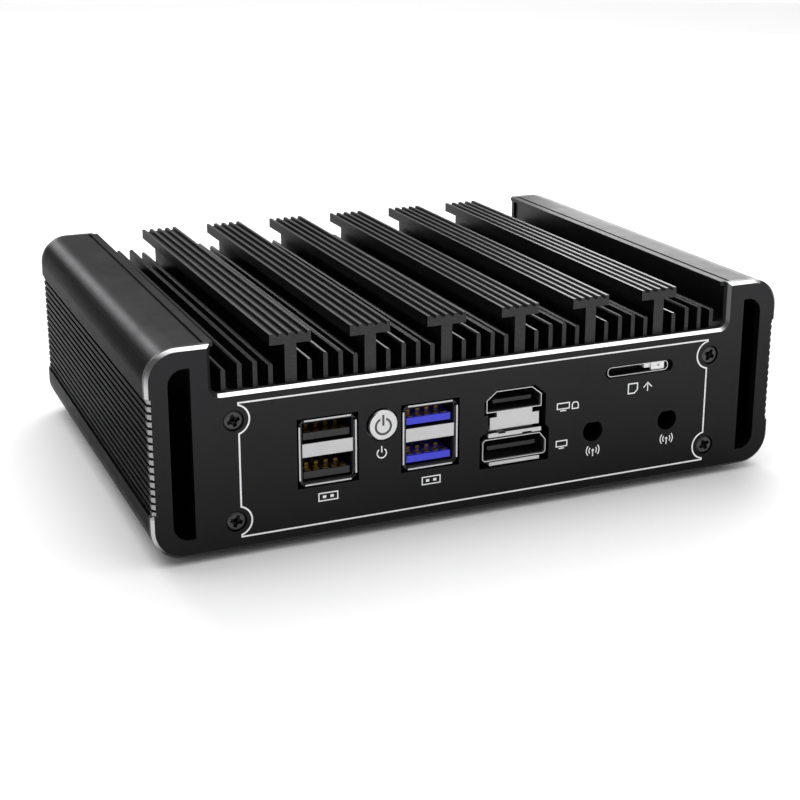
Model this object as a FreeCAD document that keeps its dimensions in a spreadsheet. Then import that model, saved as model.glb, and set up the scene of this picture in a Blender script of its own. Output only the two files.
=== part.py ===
import FreeCAD, Part
import Sketcher
import math
import os
from FreeCAD import Vector, Placement, Rotation

# Fanless mini computer.  One extruded aluminium case carries the cooling fins, a front and a
# rear panel close its ends, a sheet closes its underside, and the board hangs under the deck.
#
# Case frame used in the formulas: X to the right along the front panel, Y from the front panel's
# outer face towards the rear, Z up from the underside of the case.  The model's own origin is the
# centre of the footprint at the underside of the feet, so every piece is placed at
# (0, front_y, foot_height) from it.

doc = FreeCAD.newDocument("fanless_mini_pc")
sheet = doc.addObject("Spreadsheet::Sheet", "Params")

DIMENSIONS = [
    # overall
    ("front_y", -64.4, "front panel face in the model frame"),
    ("foot_height", 1.8, "height of the rubber feet"),
    ("half_width", 88.6, "half of the outer width"),
    ("case_height", 53.2, "case without feet"),
    ("case_depth", 129.4, "front face to rear face"),
    ("panel_thick", 2.3, "front and rear panel"),
    ("corner_radius", 8.0, "outer corners of the section"),
    ("panel_chamfer", 0.8, "cut edge round each panel"),
    # extrusion
    ("body_length", 124.8, "extrusion between the panels"),
    ("wall_inner_x", 73.3, "inner wall, board side"),
    ("wall_channel_x", 77.2, "inner wall, channel side"),
    ("channel_outer_x", 84.0, "outer wall, channel side"),
    ("channel_low_z", 3.9, "channel floor"),
    ("channel_top_z", 48.9, "channel roof"),
    ("channel_radius", 4.4, "outer corners of the channel"),
    ("deck_low_z", 35.4, "underside of the deck"),
    ("deck_top_z", 38.4, "top of the deck"),
    ("ledge_top_z", 42.1, "step beside the inner wall"),
    ("ledge_inner_x", 69.0, "inner edge of that step"),
    ("lip_x", 71.35, "inner edge of the shoulder lip"),
    ("lip_thick", 1.1, "shoulder lip"),
    ("groove_inner_x", 73.45, "line groove on the shoulder"),
    ("groove_outer_x", 74.3, "line groove on the shoulder"),
    ("groove_depth", 0.6, "line groove on the shoulder"),
    ("boss_inner_x", 64.4, "inner face of the screw bosses"),
    ("boss_top_z", 10.9, "top of the lower screw boss"),
    ("boss_roof_z", 30.9, "underside of the upper screw boss"),
    ("cover_thick", 1.6, "bottom cover"),
    ("cover_rebate_x", 75.9, "rebate for the bottom cover"),
    # fins
    ("fin_pitch", 20.78, "T fin to T fin"),
    ("fin_root_z", 38.0, "fins start inside the deck"),
    ("stem_half", 1.52, "T fin stem"),
    ("cap_half", 5.31, "T fin cap"),
    ("cap_low_z", 50.45, "underside of the cap"),
    ("ridge_depth", 0.8, "grooves in the cap"),
    ("small_half", 0.58, "half thickness of a small fin"),
    ("small_low_z", 46.0, "top of a short small fin"),
    ("small_high_z", 47.15, "top of a tall small fin"),
    # ribbed side walls
    ("rib_pitch", 1.896, "rib to rib"),
    ("rib_crest_x", 88.15, "rib crest"),
    ("rib_valley_x", 87.2, "groove floor"),
    ("rib_first_z", 13.2, "first groove"),
    # panels
    ("notch_x", 72.6, "inner edge of the panel's ears"),
    ("notch_z", 40.6, "floor of the notch"),
    ("notch_radius", 2.2, "corners of the notch"),
    ("slot_inner_x", 77.7, "side slot"),
    ("slot_outer_x", 83.2, "side slot"),
    ("slot_low_z", 4.6, "side slot"),
    ("slot_top_z", 48.1, "side slot"),
    ("slot_radius", 4.0, "outer corners of the side slot"),
    ("screw_x", 67.48, "panel screws"),
    ("screw_low_z", 7.5, "lower panel screws"),
    ("screw_high_z", 33.55, "upper panel screws"),
    ("screw_hole_radius", 1.7, "clearance hole"),
    ("screw_sink_radius", 2.65, "counterbore"),
    ("screw_sink_depth", 1.2, "counterbore"),
    ("screw_bore_radius", 1.5, "bore in the extrusion"),
    ("head_radius", 2.4, "screw head"),
    ("shank_radius", 1.45, "screw shank"),
    ("screw_reach", 10.0, "panel screw tip"),
    # ports on the front
    ("black_x", -43.45, "centre of the black port stack"),
    ("blue_x", -15.75, "centre of the blue port stack"),
    ("port_z", 22.4, "centre of both stacks"),
    ("port_cut_half_x", 8.1, "panel opening"),
    ("port_cut_half_z", 9.1, "panel opening"),
    ("port_shell_half_x", 6.95, "shell outside"),
    ("port_shell_half_z", 8.1, "shell outside"),
    ("port_sheet", 0.4, "shell sheet"),
    ("band_low_z", 21.3, "middle web of the stack"),
    ("band_top_z", 24.8, "middle web of the stack"),
    ("tongue_half_x", 6.1, "tongue"),
    ("tongue_thick", 1.8, "tongue"),
    ("tongue_low_z", 15.3, "lower tongue"),
    ("tongue_high_z", 25.5, "upper tongue"),
    ("tongue_front_y", 1.3, "front end of the tongues"),
    ("port_depth", 17.8, "rear of the port stacks"),
    ("video_x", 8.1, "centre of the video sockets"),
    ("button_x", -28.95, "power button"),
    ("button_z", 27.15, "power button"),
    ("button_hole_radius", 4.35, "hole for the button"),
    ("button_radius", 3.92, "button face"),
    ("button_proud", 0.6, "face in front of the panel"),
    ("button_travel", 0.5, "stroke of the button"),
    ("card_x", 45.15, "card socket"),
    ("card_z", 32.33, "card socket"),
    ("antenna_left_x", 31.7, "antenna hole"),
    ("antenna_right_x", 54.83, "antenna hole"),
    ("antenna_z", 16.7, "antenna holes"),
    ("antenna_radius", 2.95, "antenna holes"),
    ("antenna_flat", 2.5, "flat above the centre"),
    # rear
    ("jack_first_x", -13.0, "network jack"),
    ("jack_pitch", 19.0, "network jacks"),
    ("jack_half_x", 8.0, "network jack"),
    ("jack_low_z", 17.7, "network jack"),
    ("inlet_x", -50.0, "power inlet"),
    ("inlet_z", 24.6, "power inlet"),
    ("inlet_bore_radius", 2.9, "power inlet"),
    ("inlet_pin_radius", 1.05, "power inlet"),
    # board
    ("board_half_x", 62.5, "main board"),
    ("board_low_z", 31.3, "main board underside"),
    ("board_thick", 1.6, "main board"),
    ("board_front_y", 3.0, "main board"),
    ("board_length", 123.4, "main board"),
    ("foot_radius", 6.5, "rubber foot"),
    ("foot_x", 63.0, "rubber foot"),
    ("foot_inset_y", 13.0, "rubber foot from the panel face"),
    ("wall_mount_half", 37.5, "half of the wall mount spacing"),
    ("wall_mount_radius", 1.65, "wall mount thread hole"),
    ("cover_screw_x", 71.0, "bottom cover screws"),
    ("cover_screw_y", 22.0, "first bottom cover screw"),
]
for index, (alias, value, note) in enumerate(DIMENSIONS, start=1):
    sheet.set("A%d" % index, alias)
    sheet.set("B%d" % index, str(value))
    sheet.setAlias("B%d" % index, alias)
    sheet.set("C%d" % index, note)
doc.recompute()


class Quantity:
    """A number together with the sheet formula that gives it."""

    def __init__(self, number, formula):
        self.number = float(number)
        self.formula = formula

    def __add__(self, other):
        other = quantity(other)
        return Quantity(self.number + other.number, "(%s + %s)" % (self.formula, other.formula))

    def __sub__(self, other):
        other = quantity(other)
        return Quantity(self.number - other.number, "(%s - %s)" % (self.formula, other.formula))

    def __mul__(self, other):
        other = quantity(other)
        return Quantity(self.number * other.number, "(%s * %s)" % (self.formula, other.formula))

    def __radd__(self, other):
        return quantity(other) + self

    def __rsub__(self, other):
        return quantity(other) - self

    def __rmul__(self, other):
        return quantity(other) * self

    def __neg__(self):
        return quantity(0) - self


def quantity(item):
    if isinstance(item, Quantity):
        return item
    return Quantity(item, "%.6g" % item if item >= 0 else "(%.6g)" % item)


class Dims:
    pass


D = Dims()
for alias, value, note in DIMENSIONS:
    setattr(D, alias, Quantity(value, "Params." + alias))


def bind(item, prop, value):
    value = quantity(value)
    item.setExpression(prop, value.formula)


# ---------------------------------------------------------------- PartDesign helpers

NODES = {}


def new_body(name):
    body = doc.addObject("PartDesign::Body", name)
    body.Label = name
    bind(body, "Placement.Base.y", D.front_y)
    bind(body, "Placement.Base.z", D.foot_height)
    NODES[name] = body
    return body


def plane_of(body, role):
    for feature in body.Origin.OriginFeatures:
        if feature.Role == role:
            return feature
    raise RuntimeError("no plane " + role)


def new_sketch(body, role, name, offset=None):
    sketch = body.newObject("Sketcher::SketchObject", name)
    sketch.AttachmentSupport = [(plane_of(body, role), "")]
    sketch.MapMode = "FlatFace"
    if offset is not None:
        offset = quantity(offset)
        sketch.AttachmentOffset = Placement(Vector(0, 0, offset.number), Rotation())
        bind(sketch, "AttachmentOffset.Base.z", offset)
    return sketch


def pin_point(sketch, geometry, point, x, y):
    """Holds one point of the sketch at the sheet's values."""
    for kind, value, axis in (("DistanceX", quantity(x), -2), ("DistanceY", quantity(y), -1)):
        if abs(value.number) < 1e-9:
            sketch.addConstraint(Sketcher.Constraint("PointOnObject", geometry, point, axis))
        else:
            number = sketch.addConstraint(
                Sketcher.Constraint(kind, -1, 1, geometry, point, value.number)
            )
            sketch.setExpression("Constraints[%d]" % number, value.formula)


def add_loop(sketch, points):
    points = [(quantity(x), quantity(y)) for x, y in points]
    first = sketch.GeometryCount
    count = len(points)
    for index in range(count):
        a = points[index]
        b = points[(index + 1) % count]
        sketch.addGeometry(
            Part.LineSegment(Vector(a[0].number, a[1].number, 0), Vector(b[0].number, b[1].number, 0)),
            False,
        )
    for index in range(count):
        sketch.addConstraint(
            Sketcher.Constraint("Coincident", first + index, 2, first + (index + 1) % count, 1)
        )
    for index in range(count):
        pin_point(sketch, first + index, 1, points[index][0], points[index][1])


def add_circle(sketch, x, y, radius):
    x, y, radius = quantity(x), quantity(y), quantity(radius)
    index = sketch.addGeometry(
        Part.Circle(Vector(x.number, y.number, 0), Vector(0, 0, 1), radius.number), False
    )
    number = sketch.addConstraint(Sketcher.Constraint("Radius", index, radius.number))
    sketch.setExpression("Constraints[%d]" % number, radius.formula)
    pin_point(sketch, index, 3, x, y)


def add_flatted_circle(sketch, x, y, radius, flat):
    """A round hole with a flat above its centre."""
    x, y, radius, flat = [quantity(v) for v in (x, y, radius, flat)]
    half = math.sqrt(radius.number ** 2 - flat.number ** 2)
    start = math.atan2(flat.number, -half)
    end = math.atan2(flat.number, half) + 2 * math.pi
    circle = Part.Circle(Vector(x.number, y.number, 0), Vector(0, 0, 1), radius.number)
    arc = sketch.addGeometry(Part.ArcOfCircle(circle, start, end), False)
    top = y.number + flat.number
    line = sketch.addGeometry(
        Part.LineSegment(Vector(x.number + half, top, 0), Vector(x.number - half, top, 0)), False
    )
    sketch.addConstraint(Sketcher.Constraint("Coincident", arc, 2, line, 1))
    sketch.addConstraint(Sketcher.Constraint("Coincident", line, 2, arc, 1))
    sketch.addConstraint(Sketcher.Constraint("Horizontal", line))
    number = sketch.addConstraint(Sketcher.Constraint("Radius", arc, radius.number))
    sketch.setExpression("Constraints[%d]" % number, radius.formula)
    pin_point(sketch, arc, 3, x, y)
    number = sketch.addConstraint(Sketcher.Constraint("DistanceY", -1, 1, line, 1, top))
    sketch.setExpression("Constraints[%d]" % number, (y + flat).formula)


def box_loop(x0, y0, x1, y1):
    return [(x0, y0), (x1, y0), (x1, y1), (x0, y1)]


def pad(body, sketch, name, length, reverse=True):
    feature = body.newObject("PartDesign::Pad", name)
    feature.Profile = sketch
    feature.Type = 0
    feature.Reversed = reverse
    bind(feature, "Length", length)
    feature.Length = quantity(length).number
    return feature


def pocket(body, sketch, name, length, reverse=False):
    feature = body.newObject("PartDesign::Pocket", name)
    feature.Profile = sketch
    feature.Type = 0
    feature.Reversed = reverse
    bind(feature, "Length", length)
    feature.Length = quantity(length).number
    return feature


def repeat(body, feature, sketch, axis, name, pitch, count):
    pattern = body.newObject("PartDesign::LinearPattern", name)
    pattern.Originals = [feature]
    pattern.Direction = (sketch, [axis])
    pattern.Occurrences = count
    bind(pattern, "Length", quantity(pitch) * (count - 1))
    body.Tip = pattern
    return pattern


def edges_along_y(shape, places, tolerance=0.02):
    """Names of the straight edges that run along Y at the given x, z."""
    names = []
    for number, edge in enumerate(shape.Edges, start=1):
        if len(edge.Vertexes) != 2:
            continue
        a, b = edge.Vertexes[0].Point, edge.Vertexes[1].Point
        if abs(a.x - b.x) > 1e-4 or abs(a.z - b.z) > 1e-4:
            continue
        for x, z in places:
            if abs(a.x - x) < tolerance and abs(a.z - z) < tolerance:
                names.append("Edge%d" % number)
    return names


def fillet(body, name, places, radius):
    doc.recompute()
    base = body.Tip
    local = base.Shape
    names = edges_along_y(local, [(quantity(x).number, quantity(z).number) for x, z in places])
    if len(names) < len(places):
        raise RuntimeError("%s: found %d of %d edges" % (name, len(names), len(places)))
    feature = body.newObject("PartDesign::Fillet", name)
    feature.Base = (base, names)
    bind(feature, "Radius", radius)
    feature.Radius = quantity(radius).number
    doc.recompute()
    return feature


def volume_drops(before, feature):
    doc.recompute()
    after = feature.Shape.Volume
    if not after < before - 1e-3:
        raise RuntimeError("%s cut nothing" % feature.Name)
    return after


# ---------------------------------------------------------------- primitive helpers


def solid_box(name, x0, x1, y0, y1, z0, z1):
    """Box between two corners of the case frame."""
    x0, x1, y0, y1, z0, z1 = [quantity(v) for v in (x0, x1, y0, y1, z0, z1)]
    item = doc.addObject("Part::Box", name)
    bind(item, "Length", x1 - x0)
    bind(item, "Width", y1 - y0)
    bind(item, "Height", z1 - z0)
    bind(item, "Placement.Base.x", x0)
    bind(item, "Placement.Base.y", D.front_y + y0)
    bind(item, "Placement.Base.z", D.foot_height + z0)
    return item


def rod_y(name, x, y0, y1, z, radius):
    """Cylinder along Y in the case frame."""
    x, y0, y1, z, radius = [quantity(v) for v in (x, y0, y1, z, radius)]
    item = doc.addObject("Part::Cylinder", name)
    item.Placement = Placement(Vector(0, 0, 0), Rotation(Vector(1, 0, 0), -90))
    bind(item, "Radius", radius)
    bind(item, "Height", y1 - y0)
    bind(item, "Placement.Base.x", x)
    bind(item, "Placement.Base.y", D.front_y + y0)
    bind(item, "Placement.Base.z", D.foot_height + z)
    return item


def rod_z(name, x, y, z0, z1, radius):
    """Cylinder along Z in the case frame."""
    x, y, z0, z1, radius = [quantity(v) for v in (x, y, z0, z1, radius)]
    item = doc.addObject("Part::Cylinder", name)
    bind(item, "Radius", radius)
    bind(item, "Height", z1 - z0)
    bind(item, "Placement.Base.x", x)
    bind(item, "Placement.Base.y", D.front_y + y)
    bind(item, "Placement.Base.z", D.foot_height + z0)
    return item


def cone_z(name, x, y, z0, z1, radius0, radius1):
    x, y, z0, z1, radius0, radius1 = [quantity(v) for v in (x, y, z0, z1, radius0, radius1)]
    item = doc.addObject("Part::Cone", name)
    bind(item, "Radius1", radius0)
    bind(item, "Radius2", radius1)
    bind(item, "Height", z1 - z0)
    bind(item, "Placement.Base.x", x)
    bind(item, "Placement.Base.y", D.front_y + y)
    bind(item, "Placement.Base.z", D.foot_height + z0)
    return item


def cone_y(name, x, y0, y1, z, radius0, radius1):
    x, y0, y1, z, radius0, radius1 = [quantity(v) for v in (x, y0, y1, z, radius0, radius1)]
    item = doc.addObject("Part::Cone", name)
    item.Placement = Placement(Vector(0, 0, 0), Rotation(Vector(1, 0, 0), -90))
    bind(item, "Radius1", radius0)
    bind(item, "Radius2", radius1)
    bind(item, "Height", y1 - y0)
    bind(item, "Placement.Base.x", x)
    bind(item, "Placement.Base.y", D.front_y + y0)
    bind(item, "Placement.Base.z", D.foot_height + z)
    return item


def fuse(name, items):
    if len(items) == 1:
        return items[0]
    item = doc.addObject("Part::MultiFuse", name)
    item.Shapes = items
    item.Refine = True
    return item


def cut(name, base, tools):
    item = doc.addObject("Part::Cut", name)
    item.Base = base
    item.Tool = fuse(name + "_tools", tools)
    item.Refine = True
    return item


def group(name, items):
    item = doc.addObject("Part::Compound", name)
    item.Links = items
    return item


def node(name, item):
    item.Label = name
    NODES[name] = item
    return item


# ---------------------------------------------------------------- case extrusion


def side_ribs(body, length):
    """Recessed field of fine ribs on both outer walls, the same in the case and in the panels."""
    field = new_sketch(body, "XZ_Plane", body.Name + "_rib_field")
    for side in (1, -1):
        crest = D.rib_crest_x * side
        add_loop(field, [
            (crest, D.rib_first_z - 1.2),
            (D.half_width * side + 0.15 * side, D.rib_first_z - 1.75),
            (D.half_width * side + 1.0 * side, D.rib_first_z - 1.75),
            (D.half_width * side + 1.0 * side, D.rib_first_z + D.rib_pitch * 15 - 0.1),
            (D.half_width * side + 0.15 * side, D.rib_first_z + D.rib_pitch * 15 - 0.1),
            (crest, D.rib_first_z + D.rib_pitch * 15 - 0.45),
        ])
    before = body.Tip.Shape.Volume
    cut_field = pocket(body, field, body.Name + "_rib_field_cut", length)
    before = volume_drops(before, cut_field)
    groove = new_sketch(body, "XZ_Plane", body.Name + "_rib_groove")
    for side in (1, -1):
        crest = D.rib_crest_x * side
        valley = D.rib_valley_x * side
        z = D.rib_first_z
        add_loop(groove, [
            (crest, z - 0.14),
            (valley, z - 0.02),
            (valley, z + 0.52),
            (crest, z + 0.64),
            (crest + 0.2 * side, z + 0.64),
            (crest + 0.2 * side, z - 0.14),
        ])
    cut_groove = pocket(body, groove, body.Name + "_rib_groove_cut", length)
    before = volume_drops(before, cut_groove)
    ribs = repeat(body, cut_groove, groove, "V_Axis", body.Name + "_ribs", D.rib_pitch, 15)
    volume_drops(before, ribs)


case = new_body("case_extrusion")
section = new_sketch(case, "XZ_Plane", "case_section", -D.panel_thick)
W, H = D.half_width, D.case_height
right = [
    (W, 0), (W, H),
    (D.groove_outer_x, H), (D.groove_outer_x, H - D.groove_depth),
    (D.groove_inner_x, H - D.groove_depth), (D.groove_inner_x, H),
    (D.lip_x, H), (D.lip_x, H - D.lip_thick), (D.wall_inner_x, H - D.lip_thick - 0.5),
    (D.wall_inner_x, D.ledge_top_z), (D.ledge_inner_x, D.ledge_top_z),
    (D.ledge_inner_x, D.deck_top_z),
]
left = [(-D.wall_inner_x, D.deck_top_z)] + [(-x, z) for x, z in reversed(right[:-3])]
add_loop(section, right + left)
pad(case, section, "case_pad", D.body_length)
fillet(case, "case_corners", [(W, 0), (W, H), (-W, 0), (-W, H)], D.corner_radius)

hollow = new_sketch(case, "XZ_Plane", "case_hollow", -D.panel_thick + 1.0)
right = [
    (D.cover_rebate_x, -1.0), (D.cover_rebate_x, D.cover_thick), (D.boss_inner_x, D.cover_thick),
    (D.boss_inner_x, D.boss_top_z), (D.wall_inner_x, D.boss_top_z),
    (D.wall_inner_x, D.boss_roof_z), (D.boss_inner_x, D.boss_roof_z),
    (D.boss_inner_x, D.deck_low_z),
]
left = [(-x, z) for x, z in reversed(right)]
add_loop(hollow, right + left)
volume = case.Tip.Shape.Volume
hollow_cut = pocket(case, hollow, "case_hollow_cut", D.body_length + 2.0)
volume = volume_drops(volume, hollow_cut)

channels = new_sketch(case, "XZ_Plane", "case_channels", -D.panel_thick + 1.0)
for side in (1, -1):
    add_loop(channels, box_loop(
        D.wall_channel_x * side, D.channel_low_z, D.channel_outer_x * side, D.channel_top_z))
channel_cut = pocket(case, channels, "case_channel_cut", D.body_length + 2.0)
volume = volume_drops(volume, channel_cut)
fillet(case, "case_channel_corners", [
    (D.channel_outer_x, D.channel_low_z), (D.channel_outer_x, D.channel_top_z),
    (-D.channel_outer_x, D.channel_low_z), (-D.channel_outer_x, D.channel_top_z)],
    D.channel_radius)
volume = case.Tip.Shape.Volume

# screw bores that run the length of the four bosses
bores = new_sketch(case, "XZ_Plane", "case_bores", -D.panel_thick + 1.0)
for side in (1, -1):
    for z in (D.screw_low_z, D.screw_high_z):
        add_circle(bores, D.screw_x * side, z, D.screw_bore_radius)
bore_cut = pocket(case, bores, "case_bore_cut", D.body_length + 2.0)
volume = volume_drops(volume, bore_cut)

# six T fins with ridged caps
tee = new_sketch(case, "XZ_Plane", "t_fin", -D.panel_thick)
tee_x = D.fin_pitch * -2.5
top = [(-1.0, 5.31), (-1.0, 4.5)]
ridge = [
    (-5.31, 0), (-4.5, 0), (-4.3, 1), (-3.05, 1), (-2.85, 0), (-2.05, 0), (-1.85, 1), (-0.6, 1),
    (-0.4, 0), (0.4, 0), (0.6, 1), (1.85, 1), (2.05, 0), (2.85, 0), (3.05, 1), (4.3, 1),
    (4.5, 0), (5.31, 0),
]
loop = [
    (tee_x + D.stem_half, D.fin_root_z), (tee_x + D.stem_half, D.cap_low_z),
    (tee_x + D.cap_half, D.cap_low_z),
]
for dx, low in reversed(ridge):
    x = tee_x + (D.cap_half if dx == 5.31 else -D.cap_half if dx == -5.31 else dx)
    loop.append((x, H - D.ridge_depth if low else H))
loop += [
    (tee_x - D.cap_half, D.cap_low_z), (tee_x - D.stem_half, D.cap_low_z),
    (tee_x - D.stem_half, D.fin_root_z),
]
add_loop(tee, loop)
tee_pad = pad(case, tee, "t_fin_pad", D.body_length)
doc.recompute()
repeat(case, tee_pad, tee, "H_Axis", "t_fins", D.fin_pitch, 6)
doc.recompute()


def small_fin(sketch, x, z):
    half = D.small_half
    add_loop(sketch, [
        (x - half, D.fin_root_z), (x + half, D.fin_root_z), (x + half, z - 0.35),
        (x + half - 0.3, z), (x - half + 0.3, z), (x - half, z - 0.35)])


# four small fins between neighbouring T fins: short, tall, tall, short
comb = new_sketch(case, "XZ_Plane", "small_fins", -D.panel_thick)
for offset, z in ((-5.57, D.small_low_z), (-1.41, D.small_high_z), (2.56, D.small_high_z),
                  (6.46, D.small_low_z)):
    small_fin(comb, D.fin_pitch * -2 + offset, z)
comb_pad = pad(case, comb, "small_fin_pad", D.body_length)
doc.recompute()
repeat(case, comb_pad, comb, "H_Axis", "small_fin_rows", D.fin_pitch, 6)
doc.recompute()
end_comb = new_sketch(case, "XZ_Plane", "end_fins", -D.panel_thick)
for x, z in ((-69.05, D.small_low_z), (-64.95, D.small_high_z), (-61.06, D.small_high_z),
             (-57.15, D.small_low_z)):
    small_fin(end_comb, x, z)
pad(case, end_comb, "end_fin_pad", D.body_length)
doc.recompute()
volume = case.Tip.Shape.Volume

# pocket in the underside of the deck for the copper block
seat = new_sketch(case, "XY_Plane", "block_seat", D.deck_low_z)
add_loop(seat, box_loop(-20.4, 40.0, 20.4, 80.8))
seat_cut = pocket(case, seat, "block_seat_cut", 1.2, reverse=True)
volume = volume_drops(volume, seat_cut)

# blind threads for the board screws in the deck and for the cover screws in the lower bosses
threads = new_sketch(case, "XY_Plane", "board_threads", D.deck_low_z)
for x in (-58.5, 58.5):
    for y in (24.0, 112.0):
        add_circle(threads, x, y, D.screw_bore_radius)
thread_cut = pocket(case, threads, "board_thread_cut", 2.3, reverse=True)
volume = volume_drops(volume, thread_cut)
cover_threads = new_sketch(case, "XY_Plane", "cover_threads", D.cover_thick)
COVER_SCREW_Y = (D.cover_screw_y, D.case_depth * 0.5, D.case_depth - D.cover_screw_y)
for side in (1, -1):
    for y in COVER_SCREW_Y:
        add_circle(cover_threads, D.cover_screw_x * side, y, 1.3)
cover_thread_cut = pocket(case, cover_threads, "cover_thread_cut", 5.0, reverse=True)
volume = volume_drops(volume, cover_thread_cut)
side_ribs(case, D.case_depth)


# ---------------------------------------------------------------- front and rear panels


def panel(name, rear):
    """U-notched end panel.  Its chamfered face is at the outside."""
    body = new_body(name)
    if rear:
        # built like the front panel and turned round, so its chamfer faces the rear
        body.Placement = Placement(Vector(0, 0, 0), Rotation(Vector(0, 0, 1), 180))
        bind(body, "Placement.Base.y", D.front_y + D.case_depth)
        bind(body, "Placement.Base.z", D.foot_height)
    outline = new_sketch(body, "XZ_Plane", name + "_outline")
    add_loop(outline, [
        (-W, 0), (W, 0), (W, H), (D.notch_x, H), (D.notch_x, D.notch_z),
        (-D.notch_x, D.notch_z), (-D.notch_x, H), (-W, H)])
    pad(body, outline, name + "_pad", D.panel_thick)
    fillet(body, name + "_corners", [(W, 0), (W, H), (-W, 0), (-W, H)], D.corner_radius)
    fillet(body, name + "_notch_corners",
           [(D.notch_x, D.notch_z), (-D.notch_x, D.notch_z)], D.notch_radius)
    base = body.Tip
    names = []
    for number, edge in enumerate(base.Shape.Edges, start=1):
        if all(abs(v.Point.y) < 1e-4 for v in edge.Vertexes):
            names.append("Edge%d" % number)
    bevel = body.newObject("PartDesign::Chamfer", name + "_bevel")
    bevel.Base = (base, names)
    bind(bevel, "Size", D.panel_chamfer)
    bevel.Size = D.panel_chamfer.number
    doc.recompute()
    side_ribs(body, D.panel_thick + 1.0)
    # the cut edge steps in with the ribs
    vol = body.Tip.Shape.Volume
    rib_bevel = new_sketch(body, "XY_Plane", name + "_rib_bevel",
                           D.rib_first_z + D.rib_pitch * 15 - 0.3)
    for side in (1, -1):
        inner = D.rib_crest_x * side - D.panel_chamfer * side
        outer = D.rib_crest_x * side + 0.6 * side
        add_loop(rib_bevel, [(inner - 0.5 * side, -0.5), (outer, -0.5),
                             (outer, D.panel_chamfer + 0.6)])
    vol = volume_drops(vol, pocket(body, rib_bevel, name + "_rib_bevel_cut",
                                   D.rib_pitch * 15 + 0.75))
    slots = new_sketch(body, "XZ_Plane", name + "_slots")
    for side in (1, -1):
        add_loop(slots, box_loop(D.slot_inner_x * side, D.slot_low_z,
                                 D.slot_outer_x * side, D.slot_top_z))
    vol = volume_drops(vol, pocket(body, slots, name + "_slot_cut", D.panel_thick + 1.0))
    fillet(body, name + "_slot_corners", [
        (D.slot_outer_x, D.slot_low_z), (D.slot_outer_x, D.slot_top_z),
        (-D.slot_outer_x, D.slot_low_z), (-D.slot_outer_x, D.slot_top_z)], D.slot_radius)
    fillet(body, name + "_slot_inner_corners", [
        (D.slot_inner_x, D.slot_low_z), (D.slot_inner_x, D.slot_top_z),
        (-D.slot_inner_x, D.slot_low_z), (-D.slot_inner_x, D.slot_top_z)], 0.4)
    vol = body.Tip.Shape.Volume
    holes = new_sketch(body, "XZ_Plane", name + "_screw_holes")
    sinks = new_sketch(body, "XZ_Plane", name + "_screw_sinks")
    for side in (1, -1):
        for z in (D.screw_low_z, D.screw_high_z):
            add_circle(holes, D.screw_x * side, z, D.screw_hole_radius)
            add_circle(sinks, D.screw_x * side, z, D.screw_sink_radius)
    vol = volume_drops(vol, pocket(body, holes, name + "_hole_cut", D.panel_thick + 1.0))
    volume_drops(vol, pocket(body, sinks, name + "_sink_cut", D.screw_sink_depth))
    return body


front = panel("front_plate", False)
openings = new_sketch(front, "XZ_Plane", "front_openings")
for x in (D.black_x, D.blue_x):
    add_loop(openings, box_loop(x - D.port_cut_half_x, D.port_z - D.port_cut_half_z,
                                x + D.port_cut_half_x, D.port_z + D.port_cut_half_z))
VX = D.video_x
add_loop(openings, [
    (VX - 9.9, 10.8), (VX + 10.3, 10.8), (VX + 10.3, 19.6), (VX + 9.2, 20.8),
    (VX + 9.2, 29.15), (VX + 6.0, 31.95), (VX - 4.95, 31.95), (VX - 8.7, 28.92),
    (VX - 8.7, 25.4), (VX - 7.6, 25.4), (VX - 7.6, 20.9), (VX - 9.9, 19.6)])
add_loop(openings, box_loop(D.card_x - 10.15, D.card_z - 1.6, D.card_x + 10.75, D.card_z + 1.6))
add_circle(openings, D.button_x, D.button_z, D.button_hole_radius)
for x in (D.antenna_left_x, D.antenna_right_x):
    add_flatted_circle(openings, x, D.antenna_z, D.antenna_radius, D.antenna_flat)
vol = front.Tip.Shape.Volume
volume_drops(vol, pocket(front, openings, "front_opening_cut", D.panel_thick + 1.0))
fillet(front, "card_slot_corners", [
    (D.card_x - 10.15, D.card_z - 1.6), (D.card_x - 10.15, D.card_z + 1.6),
    (D.card_x + 10.75, D.card_z - 1.6), (D.card_x + 10.75, D.card_z + 1.6)], 1.5)

rear = panel("rear_plate", True)
# the rear panel is turned round, so its own x runs the other way
openings = new_sketch(rear, "XZ_Plane", "rear_openings")
for index in range(4):
    x = -(D.jack_first_x + D.jack_pitch * index)
    add_loop(openings, box_loop(x - D.jack_half_x - 0.4, D.jack_low_z - 0.4,
                                x + D.jack_half_x + 0.4, D.board_low_z + 0.2))
add_circle(openings, -D.inlet_x, D.inlet_z, 4.3)
vol = rear.Tip.Shape.Volume
volume_drops(vol, pocket(rear, openings, "rear_opening_cut", D.panel_thick + 1.0))

# ---------------------------------------------------------------- bottom cover and feet

cover = new_body("bottom_cover")
sheet_outline = new_sketch(cover, "XY_Plane", "cover_outline")
add_loop(sheet_outline, box_loop(-D.cover_rebate_x + 0.25, D.panel_thick + 0.15,
                                 D.cover_rebate_x - 0.25, D.case_depth - D.panel_thick - 0.15))
pad(cover, sheet_outline, "cover_pad", D.cover_thick, reverse=False)
doc.recompute()
vol = cover.Tip.Shape.Volume
holes = new_sketch(cover, "XY_Plane", "cover_holes")
for side in (1, -1):
    for y in COVER_SCREW_Y:
        add_circle(holes, D.cover_screw_x * side, y, 1.7)
    for end in (1, -1):
        add_circle(holes, D.wall_mount_half * side, D.case_depth * 0.5 + D.wall_mount_half * end,
                   D.wall_mount_radius)
vol = volume_drops(vol, pocket(cover, holes, "cover_hole_cut", 3.0, reverse=True))
vents = new_sketch(cover, "XY_Plane", "cover_vents")
for end in (-1, 1):
    y = D.case_depth * 0.5 + 22.0 * end
    add_loop(vents, box_loop(-26.3, y - 14.0, -23.9, y + 14.0))
vent_cut = pocket(cover, vents, "cover_vent_cut", 3.0, reverse=True)
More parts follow.
